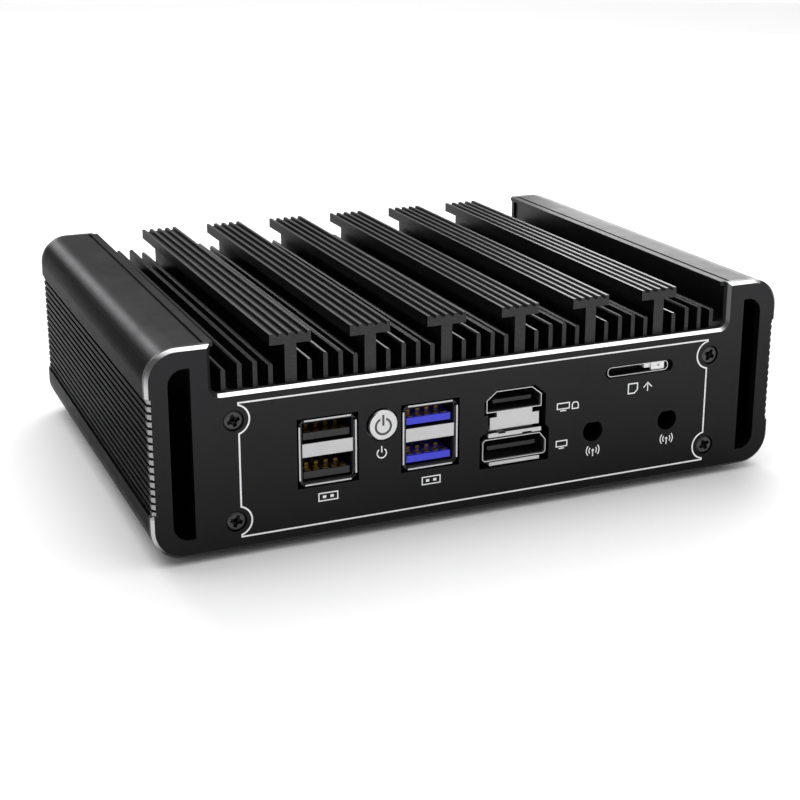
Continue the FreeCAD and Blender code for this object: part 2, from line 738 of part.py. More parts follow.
vol = volume_drops(vol, vent_cut)
vent_rows = repeat(cover, vent_cut, vents, "H_Axis", "cover_vent_rows", 5.0, 11)
volume_drops(vol, vent_rows)

feet = []
for sx in (1, -1):
    for end, y in (("front", D.foot_inset_y), ("rear", D.case_depth - D.foot_inset_y)):
        label = "foot_%s_%s" % ("right" if sx == 1 else "left", end)
        pad_disc = rod_z(label + "_disc", D.foot_x * sx, y, 0.4 - D.foot_height, 0, D.foot_radius)
        rim = cone_z(label + "_rim", D.foot_x * sx, y, 0 - D.foot_height, 0.4 - D.foot_height,
                     D.foot_radius - 0.5, D.foot_radius)
        feet.append(fuse(label, [pad_disc, rim]))
node("rubber_feet", group("rubber_feet", feet))

# ---------------------------------------------------------------- fasteners


def turned_box(name, x, z, half_x, half_z, y0, y1, angle):
    """Box turned about the screw's axis."""
    item = solid_box(name, quantity(x) - half_x, quantity(x) + half_x, y0, y1,
                     quantity(z) - half_z, quantity(z) + half_z)
    item.setExpression("Placement.Base.x", None)
    item.setExpression("Placement.Base.y", None)
    item.setExpression("Placement.Base.z", None)
    turn = Rotation(Vector(0, 1, 0), angle)
    corner = turn.multVec(Vector(-half_x, 0, -half_z))
    low = D.front_y.number + quantity(y0).number
    item.Placement = Placement(
        Vector(quantity(x).number + corner.x, low,
               D.foot_height.number + quantity(z).number + corner.z), turn)
    return item


def panel_screw(label, x, z, rear, angle):
    """Pan head screw with a cross recess, lying along Y."""
    if rear:
        def at(value):
            return D.case_depth - value
    else:
        def at(value):
            return quantity(value)

    def rod(name, y0, y1, radius):
        a, b = at(y0), at(y1)
        if rear:
            a, b = b, a
        return rod_y(name, x, a, b, z, radius)

    head = rod(label + "_head", 0.35, D.screw_sink_depth, D.head_radius)
    if rear:
        crown = cone_y(label + "_crown", x, at(0.35), at(0.1), z, D.head_radius, D.head_radius - 0.45)
    else:
        crown = cone_y(label + "_crown", x, at(0.1), at(0.35), z, D.head_radius - 0.45, D.head_radius)
    shank = rod(label + "_shank", D.screw_sink_depth - 0.1, D.screw_reach, D.shank_radius)
    solid = fuse(label + "_solid", [head, crown, shank])
    low, high = at(-0.2), at(1.0)
    if rear:
        low, high = high, low
    bar_a = turned_box(label + "_recess_a", x, z, 0.52, 1.6, low, high, angle)
    bar_b = turned_box(label + "_recess_b", x, z, 1.6, 0.52, low, high, angle)
    if rear:
        middle = cone_y(label + "_recess_c", x, at(1.8), at(-0.2), z, 0.15, 1.3)
    else:
        middle = cone_y(label + "_recess_c", x, at(-0.2), at(1.8), z, 1.3, 0.15)
    return cut(label, solid, [bar_a, bar_b, middle])


for name, rear_side in (("front_panel_screws", False), ("rear_panel_screws", True)):
    screws = []
    for side, word in ((1, "right"), (-1, "left")):
        for z, level in ((D.screw_low_z, "low"), (D.screw_high_z, "high")):
            turn = {("right", "low"): 62.0, ("right", "high"): 28.0,
                    ("left", "low"): 17.0, ("left", "high"): 73.0}[(word, level)]
            screws.append(panel_screw("%s_%s_%s" % (name[:-1], word, level),
                                      D.screw_x * side, z, rear_side, turn))
    node(name, group(name, screws))

screws = []
for side, word in ((1, "right"), (-1, "left")):
    for index, y in enumerate(COVER_SCREW_Y):
        label = "cover_screw_%s_%d" % (word, index)
        x = D.cover_screw_x * side
        head = rod_z(label + "_head", x, y, -0.7, 0, 2.5)
        shank = rod_z(label + "_shank", x, y, -0.1, 6.0, 1.25)
        solid = fuse(label + "_solid", [head, shank])
        bar_a = solid_box(label + "_recess_a", x - 0.3, x + 0.3, y - 1.3, y + 1.3, -0.9, -0.2)
        bar_b = solid_box(label + "_recess_b", x - 1.3, x + 1.3, y - 0.3, y + 0.3, -0.9, -0.2)
        screws.append(cut(label, solid, [bar_a, bar_b]))
node("bottom_cover_screws", group("bottom_cover_screws", screws))

BZ = D.board_low_z
BT = D.board_low_z + D.board_thick
screws, spacers = [], []
for x in (-58.5, 58.5):
    for y in (24.0, 112.0):
        label = "board_screw_%s_%d" % ("left" if x < 0 else "right", y)
        head = rod_z(label + "_head", x, y, BZ - 1.6, BZ, 2.7)
        shank = rod_z(label + "_shank", x, y, BZ - 0.1, D.deck_low_z + 2.0, 1.4)
        solid = fuse(label + "_solid", [head, shank])
        bar_a = solid_box(label + "_recess_a", x - 0.3, x + 0.3, y - 1.4, y + 1.4, BZ - 2.0, BZ - 0.8)
        bar_b = solid_box(label + "_recess_b", x - 1.4, x + 1.4, y - 0.3, y + 0.3, BZ - 2.0, BZ - 0.8)
        screws.append(cut(label, solid, [bar_a, bar_b]))
        label = "board_spacer_%s_%d" % ("left" if x < 0 else "right", y)
        tube = rod_z(label + "_tube", x, y, BT, D.deck_low_z, 3.0)
        bore = rod_z(label + "_bore", x, y, BT - 1.0, D.deck_low_z + 1.0, 1.6)
        spacers.append(cut(label, tube, [bore]))
node("board_screws", group("board_screws", screws))
node("board_spacers", group("board_spacers", spacers))

# ---------------------------------------------------------------- main board and what it carries

plate = solid_box("board_blank", -D.board_half_x, D.board_half_x, D.board_front_y,
                  D.board_front_y + D.board_length, BZ, BT)
tools = [rod_z("board_hole_%d" % index, x, y, BZ - 1.0, BT + 1.0, 1.6)
         for index, (x, y) in enumerate([(a, b) for a in (-58.5, 58.5) for b in (24.0, 112.0)])]
# notch in the front edge for the sunk card socket
tools.append(solid_box("board_card_notch", D.card_x - 9.9, D.card_x + 9.9, 0.0, 17.6,
                       BZ - 1.0, BT + 1.0))
# notches for the sunk video stack and for the flange of the power button
tools.append(solid_box("board_video_notch", D.video_x - 9.6, D.video_x + 9.6, 0.0, 11.45,
                       BZ - 1.0, BT + 1.0))
tools.append(solid_box("board_button_notch", D.button_x - 6.0, D.button_x + 6.0, 0.0, 5.0,
                       BZ - 1.0, BT + 1.0))
node("main_board", cut("main_board", plate, tools))

package = solid_box("package_base", -14.0, 14.0, 46.0, 74.0, BT, BT + 1.0)
node("processor_package", package)
node("processor_die", solid_box("processor_die", -7.0, 7.0, 54.0, 66.0, BT + 1.0, BT + 1.45))
node("thermal_pad", solid_box("thermal_pad", -9.0, 9.0, 52.0, 68.0, BT + 1.45, BT + 1.7))
node("copper_heat_block", solid_box("copper_heat_block", -20.0, 20.0, 40.4, 80.4, BT + 1.7,
                                    D.deck_low_z + 1.2))

# memory: a slot with side arms and a module that lies parallel to the board
slot_body = solid_box("memory_slot_body", -11.0, 59.0, 72.5, 79.0, BZ - 5.2, BZ)
slot_mouth = solid_box("memory_slot_mouth", -9.3, 57.3, 71.0, 76.0, BZ - 3.7, BZ - 2.3)
arm_a = solid_box("memory_arm_a", -11.0, -9.6, 48.0, 72.6, BZ - 4.2, BZ)
arm_b = solid_box("memory_arm_b", 57.6, 59.0, 48.0, 72.6, BZ - 4.2, BZ)
node("memory_slot", cut("memory_slot", fuse("memory_slot_solid", [slot_body, arm_a, arm_b]),
                        [slot_mouth]))
stick = solid_box("memory_stick", -9.2, 57.2, 45.5, 75.6, BZ - 3.5, BZ - 2.5)
key = solid_box("memory_key", 22.0, 23.6, 73.2, 76.5, BZ - 4.0, BZ - 2.0)
node("memory_module", cut("memory_module", stick, [key]))
chips = []
for index in range(4):
    x = -4.0 + index * 15.0
    chips.append(solid_box("memory_chip_%d" % index, x, x + 11.0, 54.0, 67.0, BZ - 4.6, BZ - 3.5))
node("memory_chips", group("memory_chips", chips))

# solid state drive: a short socket, the drive's board, its chips and one screw on a standoff
socket = solid_box("drive_socket_body", -61.0, -55.6, 82.0, 104.0, BZ - 3.6, BZ)
mouth = solid_box("drive_socket_mouth", -57.6, -55.0, 82.8, 103.2, BZ - 2.8, BZ - 1.6)
node("drive_socket", cut("drive_socket", socket, [mouth]))
blade = solid_box("drive_blade", -57.4, 22.6, 83.0, 103.0, BZ - 2.6, BZ - 1.8)
bite = rod_z("drive_bite", 22.6, 93.0, BZ - 4.0, BZ - 1.0, 1.9)
node("drive_module", cut("drive_module", blade, [bite]))
chips = []
for index, (x, width) in enumerate(((-48.0, 14.0), (-30.0, 14.0), (-12.0, 18.0))):
    chips.append(solid_box("drive_chip_%d" % index, x, x + width, 86.0, 100.0, BZ - 3.8, BZ - 2.6))
node("drive_chips", group("drive_chips", chips))
stand = rod_z("drive_stand", 22.6, 93.0, BZ - 1.8, BZ, 2.6)
neck = rod_z("drive_screw_neck", 22.6, 93.0, BZ - 2.6, BZ - 1.7, 1.7)
head = rod_z("drive_screw_head", 22.6, 93.0, BZ - 3.4, BZ - 2.6, 2.6)
slot_a = solid_box("drive_screw_slot_a", 21.3, 23.9, 92.75, 93.25, BZ - 3.6, BZ - 3.0)
slot_b = solid_box("drive_screw_slot_b", 22.35, 22.85, 91.7, 94.3, BZ - 3.6, BZ - 3.0)
node("drive_screw", cut("drive_screw", fuse("drive_screw_solid", [stand, neck, head]),
                        [slot_a, slot_b]))

# clock battery in its holder
ring = rod_z("battery_ring", -42.0, 48.0, BZ - 3.6, BZ, 11.4)
well = rod_z("battery_well", -42.0, 48.0, BZ - 5.0, BZ - 0.5, 10.15)
gap = solid_box("battery_gap", -45.5, -38.5, 34.0, 42.0, BZ - 5.0, BZ - 0.5)
node("battery_holder", cut("battery_holder", ring, [well, gap]))
node("coin_battery", rod_z("coin_battery", -42.0, 48.0, BZ - 3.75, BZ - 0.55, 10.0))

coils = []
for index in range(5):
    coils.append(solid_box("coil_%d" % index, -27.5, -21.0, 31.0 + 8.5 * index,
                           37.5 + 8.5 * index, BZ - 3.0, BZ))
node("power_inductors", group("power_inductors", coils))
cans = [rod_z("can_%d" % index, x, 108.6, BZ - 6.0, BZ, 3.1)
        for index, x in enumerate((-48.0, -40.0, -32.0))]
node("capacitors", group("capacitors", cans))
node("network_chips", group("network_chips", [
    solid_box("network_chip_%d" % index, 27.0 + 8.0 * index, 32.5 + 8.0 * index, 88.0, 93.5,
              BZ - 0.9, BZ) for index in range(4)]))

# ---------------------------------------------------------------- black and blue port stacks


def port_stack(word, x):
    """Two sockets in one sheet metal shell; both tongues carry their contacts on top."""
    low, high = D.port_z - D.port_shell_half_z, D.port_z + D.port_shell_half_z
    half = D.port_shell_half_x
    sheet_metal = D.port_sheet
    block = solid_box(word + "_block", x - half, x + half, 0.8, D.port_depth, low, high)
    web = solid_box(word + "_web", x - half + 0.3, x + half - 0.3, 0.3, 1.2, D.band_low_z,
                    D.band_top_z)
    foot = solid_box(word + "_stand", x - half, x + half, 6.0, D.port_depth, high - 1.0, BZ)
    # turned-out lips round the mouth
    lips = [
        solid_box(word + "_lip_top", x - 6.15, x + 6.15, 0.1, 0.5, high + 0.14, D.port_z + 8.64),
        solid_box(word + "_lip_low", x - 6.15, x + 6.15, 0.1, 0.5, D.port_z - 8.64, low - 0.14),
        solid_box(word + "_lip_left", x - 7.63, x - half - 0.26, 0.1, 0.5,
                  D.port_z - 7.05, D.port_z + 7.05),
        solid_box(word + "_lip_right", x + half + 0.26, x + 7.63, 0.1, 0.5,
                  D.port_z - 7.05, D.port_z + 7.05),
        # the bend that joins each lip to its wall
        solid_box(word + "_bend_top", x - 6.15, x + 6.15, 0.45, 0.95, high - 0.2, D.port_z + 8.5),
        solid_box(word + "_bend_low", x - 6.15, x + 6.15, 0.45, 0.95, D.port_z - 8.5, low + 0.2),
        solid_box(word + "_bend_left", x - 7.45, x - half + 0.2, 0.45, 0.95,
                  D.port_z - 7.05, D.port_z + 7.05),
        solid_box(word + "_bend_right", x + half - 0.2, x + 7.45, 0.45, 0.95,
                  D.port_z - 7.05, D.port_z + 7.05),
    ]
    # corners of the mouth, thin and rounded in
    for sx, side_word in ((-1, "left"), (1, "right")):
        for sz, level_word in ((-1, "low"), (1, "high")):
            lips.append(turned_box("%s_corner_%s_%s" % (word, side_word, level_word),
                                   x + (half - 0.1) * sx, D.port_z + (D.port_shell_half_z - 0.1) * sz,
                                   0.12, 0.75, 0.45, 1.2, 45.0 * sx * sz * -1.0))
    rooms = [
        solid_box(word + "_room_high", x - half + sheet_metal, x + half - sheet_metal, 0.0,
                  D.port_depth - 1.0, D.band_top_z, high - sheet_metal),
        solid_box(word + "_room_low", x - half + sheet_metal, x + half - sheet_metal, 0.0,
                  D.port_depth - 1.0, low + sheet_metal, D.band_low_z),
    ]
    node(word + "_port_shell", cut(word + "_port_shell",
                                   fuse(word + "_shell_solid", [block, foot, web] + lips), rooms))
    tongues = []
    contacts = []
    for level, z in (("high", D.tongue_high_z), ("low", D.tongue_low_z)):
        room_low = D.band_top_z if level == "high" else low + sheet_metal
        room_high = high - sheet_metal if level == "high" else D.band_low_z
        blade = solid_box("%s_tongue_%s" % (word, level), x - D.tongue_half_x,
                          x + D.tongue_half_x, D.tongue_front_y, 13.0, z, z + D.tongue_thick)
        back = solid_box("%s_back_%s" % (word, level), x - half + sheet_metal,
                         x + half - sheet_metal, 12.6, D.port_depth - 1.0, room_low, room_high)
        tongues.append(fuse("%s_insert_%s" % (word, level), [blade, back]))
        top = z + D.tongue_thick
        for index in range(5):
            cx = x + (index - 2) * 2.35
            contacts.append(solid_box("%s_pad_%s_%d" % (word, level, index), cx - 0.7, cx + 0.7,
                                      D.tongue_front_y + 0.9, D.tongue_front_y + 3.1, top,
                                      top + 0.12))
        for index in range(4):
            cx = x + (index - 1.5) * 2.6
            riser = solid_box("%s_riser_%s_%d" % (word, level, index), cx - 0.5, cx + 0.5,
                              D.tongue_front_y + 4.2, D.tongue_front_y + 5.4, top, top + 0.75)
            leaf = solid_box("%s_leaf_%s_%d" % (word, level, index), cx - 0.5, cx + 0.5,
                             D.tongue_front_y + 5.2, 12.5, top, top + 0.3)
            contacts.append(fuse("%s_contact_%s_%d" % (word, level, index), [riser, leaf]))
    node(word + "_port_tongues", group(word + "_port_tongues", tongues))
    node(word + "_port_contacts", group(word + "_port_contacts", contacts))


port_stack("black", D.black_x)
port_stack("blue", D.blue_x)

# ---------------------------------------------------------------- video sockets


def tube(name, outer, inner, y0, length):
    """Sheet metal tube along Y between two outlines of the case frame."""
    body = new_body(name)
    outline = new_sketch(body, "XZ_Plane", name + "_outline", -quantity(y0))
    add_loop(outline, outer)
    add_loop(outline, inner)
    pad(body, outline, name + "_pad", length)
    doc.recompute()
    return body


tube("upper_video_shell",
     [(VX - 7.98, 25.9), (VX + 7.98, 25.9), (VX + 7.98, 29.35), (VX + 5.2, 31.6),
      (VX - 5.2, 31.6), (VX - 7.98, 29.35)],
     [(VX - 7.76, 26.12), (VX + 7.76, 26.12), (VX + 7.76, 29.25), (VX + 5.12, 31.38),
      (VX - 5.12, 31.38), (VX - 7.76, 29.25)], 0.2, 11.0)
tube("lower_video_shell",
     [(VX - 8.5, 12.6), (VX + 9.0, 12.6), (VX + 9.5, 13.2), (VX + 9.5, 16.4), (VX + 7.7, 18.65),
      (VX - 8.3, 18.65), (VX - 9.0, 18.0), (VX - 9.0, 13.2)],
     [(VX - 8.4, 12.82), (VX + 8.9, 12.82), (VX + 9.28, 13.28), (VX + 9.28, 16.33),
      (VX + 7.6, 18.43), (VX - 8.2, 18.43), (VX - 8.78, 17.9), (VX - 8.78, 13.28)], 0.2, 11.0)


def insert_body(name, outline, blade):
    """Moulded block that fills the rear of a socket, with a tongue that reaches forward."""
    body = new_body(name)
    filler = new_sketch(body, "XZ_Plane", name + "_filler", -7.2)
    add_loop(filler, outline)
    pad(body, filler, name + "_filler_pad", 3.9)
    doc.recompute()
    tongue = new_sketch(body, "XZ_Plane", name + "_tongue", -1.6)
    add_loop(tongue, blade)
    pad(body, tongue, name + "_tongue_pad", 6.0)
    doc.recompute()
    return body


insert_body("upper_video_insert",
            [(VX - 7.6, 26.25), (VX + 7.6, 26.25), (VX + 7.6, 29.15), (VX + 5.05, 31.2),
             (VX - 5.05, 31.2), (VX - 7.6, 29.15)],
            box_loop(VX - 5.6, 27.9, VX + 5.6, 28.9))
insert_body("lower_video_insert",
            [(VX - 8.3, 12.95), (VX + 8.8, 12.95), (VX + 9.1, 13.35), (VX + 9.1, 16.25),
             (VX + 7.5, 18.25), (VX - 8.1, 18.25), (VX - 8.65, 17.85), (VX - 8.65, 13.35)],
            box_loop(VX - 7.0, 15.2, VX + 7.0, 16.3))
strips = []
for index in range(9):
    cx = VX + (index - 4) * 1.15
    strips.append(solid_box("upper_video_strip_%d" % index, cx - 0.22, cx + 0.22, 2.1, 7.1,
                            27.8, 27.9))
for index in range(10):
    cx = VX + (index - 4.5) * 1.3
    strips.append(solid_box("lower_video_strip_%d" % index, cx - 0.25, cx + 0.25, 2.1, 7.1,
                            15.1, 15.2))
node("video_contacts", group("video_contacts", strips))

# bracket that holds the two video sockets one above the other
middle = solid_box("bracket_middle", VX - 6.75, VX + 7.5, 0.6, 12.0, 21.05, 24.4)
tab = solid_box("bracket_tab", VX - 4.8, VX + 5.5, 0.6, 12.0, 24.3, 25.75)
strip = solid_box("bracket_strip", VX - 7.2, VX + 8.2, 0.45, 12.0, 18.95, 20.1)
notch_a = solid_box("bracket_notch_a", VX - 4.3, VX - 2.2, 0.0, 1.8, 19.75, 20.4)
notch_b = solid_box("bracket_notch_b", VX + 2.6, VX + 5.4, 0.0, 1.8, 18.7, 19.3)
web = solid_box("bracket_web", VX - 6.4, VX + 6.4, 2.2, 12.0, 19.8, 21.3)
flap = solid_box("bracket_flap", VX - 6.9, VX + 7.8, 0.45, 12.0, 11.2, 12.15)
back = solid_box("bracket_back", VX - 8.4, VX + 8.4, 11.6, 13.6, 11.2, BZ)
node("video_bracket", cut("video_bracket",
                          fuse("video_bracket_solid", [middle, tab, strip, web, flap, back]),
                          [notch_a, notch_b]))

# ---------------------------------------------------------------- card socket

rim = new_body("card_socket_shell")
outline = new_sketch(rim, "XZ_Plane", "card_shell_outline", -0.3)
add_loop(outline, box_loop(D.card_x - 9.35, D.card_z - 1.33, D.card_x + 9.3, D.card_z + 1.33))
pad(rim, outline, "card_shell_pad", 16.6)
fillet(rim, "card_shell_corners", [
    (D.card_x - 9.35, D.card_z - 1.33), (D.card_x - 9.35, D.card_z + 1.33),
    (D.card_x + 9.3, D.card_z - 1.33), (D.card_x + 9.3, D.card_z + 1.33)], 1.1)
vol = rim.Tip.Shape.Volume
room = new_sketch(rim, "XZ_Plane", "card_shell_room", 0.0)
CX, CZ = D.card_x, D.card_z
add_loop(room, [
    (CX - 8.25, CZ - 1.15), (CX + 8.2, CZ - 1.15), (CX + 8.66, CZ - 1.03), (CX + 9.0, CZ - 0.69),
    (CX + 9.12, CZ - 0.23), (CX + 9.12, CZ + 0.23), (CX + 9.0, CZ + 0.69), (CX + 8.66, CZ + 1.03),
    (CX + 8.2, CZ + 1.15), (CX - 8.25, CZ + 1.15), (CX - 8.71, CZ + 1.03), (CX - 9.05, CZ + 0.69),
    (CX - 9.17, CZ + 0.23), (CX - 9.17, CZ - 0.23), (CX - 9.05, CZ - 0.69), (CX - 8.71, CZ - 1.03)])
volume_drops(vol, pocket(rim, room, "card_shell_room_cut", 16.4))
wings = new_sketch(rim, "XZ_Plane", "card_shell_wings", -4.0)
for wall, edge in ((9.1, 11.4), (-9.15, -11.4)):
    add_loop(wings, box_loop(CX + wall, D.board_low_z + D.board_thick, CX + edge,
                             D.board_low_z + D.board_thick + 0.25))
pad(rim, wings, "card_shell_wing_pad", 10.0)
doc.recompute()
node("card_socket_base", solid_box("card_socket_base", D.card_x - 8.2, D.card_x + 8.1, 4.2, 16.2,
                                   D.card_z - 1.15, D.card_z - 0.7))
leaves = []
for row, y in enumerate((7.0, 11.0)):
    for index in range(3):
        cx = D.card_x - 5.2 + index * 2.6
        leaves.append(solid_box("card_leaf_%d_%d" % (row, index), cx - 0.6, cx + 0.6, y, y + 2.2,
                                D.card_z - 0.7, D.card_z - 0.5))
node("card_socket_contacts", group("card_socket_contacts", leaves))
# the slider that the card pushes, at the right of the mouth; its face closes the mouth's height
slide_main = solid_box("card_slide_main", D.card_x + 4.4, D.card_x + 8.4, 0.8, 13.2,
                       D.card_z - 0.55, D.card_z + 1.0)
slide_face = solid_box("card_slide_face", D.card_x + 4.4, D.card_x + 8.4, 0.8, 1.7,
                       D.card_z - 1.0, D.card_z - 0.5)
slide_nose = solid_box("card_slide_nose", D.card_x + 2.4, D.card_x + 4.5, 1.3, 8.0,
                       D.card_z - 0.35, D.card_z + 0.95)
window = solid_box("card_slide_window", D.card_x + 6.1, D.card_x + 7.0, 0.0, 1.2,
                   D.card_z - 0.1, D.card_z + 0.5)
node("card_socket_slider", cut("card_socket_slider",
                               fuse("card_slider_solid", [slide_main, slide_face, slide_nose]), [window]))

# ---------------------------------------------------------------- power button and its switch

face = rod_y("button_face", D.button_x, 0.3 - D.button_proud, 2.8, D.button_z, D.button_radius)
bevel = cone_y("button_bevel", D.button_x, -D.button_proud, 0.3 - D.button_proud, D.button_z,
               D.button_radius - 0.3, D.button_radius)
flange = rod_y("button_flange", D.button_x, 2.65, 3.4, D.button_z, 5.2)
stem = rod_y("button_stem", D.button_x, 3.3, 6.0, D.button_z, 1.9)
key_ring = rod_y("symbol_ring_out", D.button_x, -1.0, 0.14 - D.button_proud, D.button_z - 0.3, 2.34)
key_core = rod_y("symbol_ring_in", D.button_x, -1.2, 0.3 - D.button_proud, D.button_z - 0.3, 1.74)
key_gap = solid_box("symbol_gap", D.button_x - 0.75, D.button_x + 0.75, -1.2,
                    0.3 - D.button_proud, D.button_z - 0.2, D.button_z + 2.6)
ring = cut("symbol_ring", key_ring, [key_core, key_gap])
bar = solid_box("symbol_bar", D.button_x - 0.29, D.button_x + 0.29, -1.0, 0.14 - D.button_proud,
                D.button_z - 0.1, D.button_z + 2.75)
node("power_button", cut("power_button", fuse("button_solid", [face, bevel, flange, stem]),
                         [ring, bar]))
node("switch_plunger", rod_y("switch_plunger", D.button_x, 6.0, 7.9, D.button_z, 1.5))
switch = solid_box("switch_block", D.button_x - 3.2, D.button_x + 3.2, 7.2, 11.4,
                   D.button_z - 3.2, BZ)
well = rod_y("switch_well", D.button_x, 6.8, 8.9, D.button_z, 1.75)
node("switch_body", cut("switch_body", switch, [well]))

# ---------------------------------------------------------------- network jacks and power inlet

shells, inserts, wires, lights = [], [], [], []
JY0, JY1 = D.case_depth - 21.3, D.case_depth - 0.3
for index in range(4):
    x = D.jack_first_x + D.jack_pitch * index
    half = D.jack_half_x
    low = D.jack_low_z
    can = solid_box("jack_can_%d" % index, x - half, x + half, JY0, JY1, low, BZ)
    room = solid_box("jack_room_%d" % index, x - half + 0.3, x + half - 0.3, JY0 + 0.3, JY1 + 1.0,
                     low + 0.3, BZ - 0.3)
    shells.append(cut("jack_shell_%d" % index, can, [room]))
    block = solid_box("jack_block_%d" % index, x - half + 0.32, x + half - 0.32, JY0 + 0.32,
                      JY1 - 0.35, low + 0.32, BZ - 0.32)
    mouth = solid_box("jack_mouth_%d" % index, x - 5.95, x + 5.95, JY1 - 15.5, JY1 + 1.0,
                      low + 2.9, low + 10.9)
    latch = solid_box("jack_latch_%d" % index, x - 3.1, x + 3.1, JY1 - 9.0, JY1 + 1.0,
                      low + 1.3, low + 3.0)
    sockets = []
    for side in (-1, 1):
        cx = x + 5.3 * side
        sockets.append(solid_box("jack_light_well_%d_%d" % (index, side), cx - 1.55, cx + 1.55,
                                 JY1 - 2.0, JY1 + 1.0, BZ - 2.45, BZ - 0.9))
        lights.append(solid_box("jack_light_%d_%d" % (index, side), cx - 1.5, cx + 1.5,
                                JY1 - 2.0, JY1 - 0.3, BZ - 2.4, BZ - 0.95))
    inserts.append(cut("jack_insert_%d" % index, block, [mouth, latch] + sockets))
    for pin in range(8):
        cx = x + (pin - 3.5) * 1.02
        wires.append(solid_box("jack_wire_%d_%d" % (index, pin), cx - 0.2, cx + 0.2, JY1 - 14.5,
                               JY1 - 6.0, low + 10.45, low + 10.9))
node("network_jack_shells", group("network_jack_shells", shells))
node("network_jack_inserts", group("network_jack_inserts", inserts))
node("network_jack_contacts", group("network_jack_contacts", wires))
node("network_jack_lights", group("network_jack_lights", lights))

end = D.case_depth
block = solid_box("inlet_block", D.inlet_x - 4.5, D.inlet_x + 4.5, end - 15.5, end - 2.6,
                  D.inlet_z - 4.5, BZ)
nose = rod_y("inlet_nose", D.inlet_x, end - 3.0, end - 0.2, D.inlet_z, 3.95)
bore = rod_y("inlet_bore", D.inlet_x, end - 11.0, end + 1.0, D.inlet_z, D.inlet_bore_radius)
node("power_inlet_body", cut("power_inlet_body", fuse("inlet_solid", [block, nose]), [bore]))
node("power_inlet_pin", rod_y("power_inlet_pin", D.inlet_x, end - 11.0, end - 1.2, D.inlet_z,
                              D.inlet_pin_radius))

# ---------------------------------------------------------------- check and write

doc.recompute()
problems = []
for item in doc.Objects:
    if "Invalid" in item.State or "Error" in item.State:
        problems.append("%s: %s" % (item.Name, item.State))
for name, item in NODES.items():
    shape = item.Shape
    if shape.isNull() or not shape.isValid() or not shape.Solids:
        problems.append("%s: shape" % name)
if problems:
    raise RuntimeError("; ".join(problems))
os.makedirs("parts", exist_ok=True)
total = FreeCAD.BoundBox()
for name, item in NODES.items():
    item.Shape.exportStep("parts/%s.step" % name)
    total.add(item.Shape.BoundBox)
print("nodes", len(NODES))
print("box %.2f %.2f %.2f to %.2f %.2f %.2f" % (
    total.XMin, total.YMin, total.ZMin, total.XMax, total.YMax, total.ZMax))
for name, item in NODES.items():
    box = item.Shape.BoundBox
    print("%-24s solids %2d vol %10.1f  x %.2f..%.2f y %.2f..%.2f z %.2f..%.2f" % (
        name, len(item.Shape.Solids), item.Shape.Volume, box.XMin, box.XMax, box.YMin, box.YMax,
        box.ZMin, box.ZMax))
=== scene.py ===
import bpy
import bmesh
import math
import random
from mathutils import Vector, Matrix


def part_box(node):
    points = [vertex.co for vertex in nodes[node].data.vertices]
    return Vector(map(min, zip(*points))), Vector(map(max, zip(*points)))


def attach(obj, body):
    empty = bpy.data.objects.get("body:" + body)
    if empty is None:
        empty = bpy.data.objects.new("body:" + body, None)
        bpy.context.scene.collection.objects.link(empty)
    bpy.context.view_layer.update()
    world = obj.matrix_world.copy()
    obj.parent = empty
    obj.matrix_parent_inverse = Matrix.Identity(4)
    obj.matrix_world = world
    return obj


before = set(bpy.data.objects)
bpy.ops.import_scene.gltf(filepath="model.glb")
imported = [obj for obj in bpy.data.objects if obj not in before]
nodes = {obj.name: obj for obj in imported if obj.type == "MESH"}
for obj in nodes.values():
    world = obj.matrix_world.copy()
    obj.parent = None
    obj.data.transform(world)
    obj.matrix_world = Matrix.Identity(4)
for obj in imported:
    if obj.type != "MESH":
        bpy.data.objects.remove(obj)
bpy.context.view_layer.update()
scene = bpy.context.scene
random.seed(7)

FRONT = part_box("front_plate")
FY = FRONT[0][1]          # the front panel's outer face
FZ = FRONT[0][2]          # the underside of the case
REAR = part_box("rear_plate")[1][1]


def at(x, y, z):
    """Case frame in millimetres to the row frame in metres."""
    return Vector((x * 0.001, FY + y * 0.001, FZ + z * 0.001))


# ------------------------------------------------------------------ shader building blocks


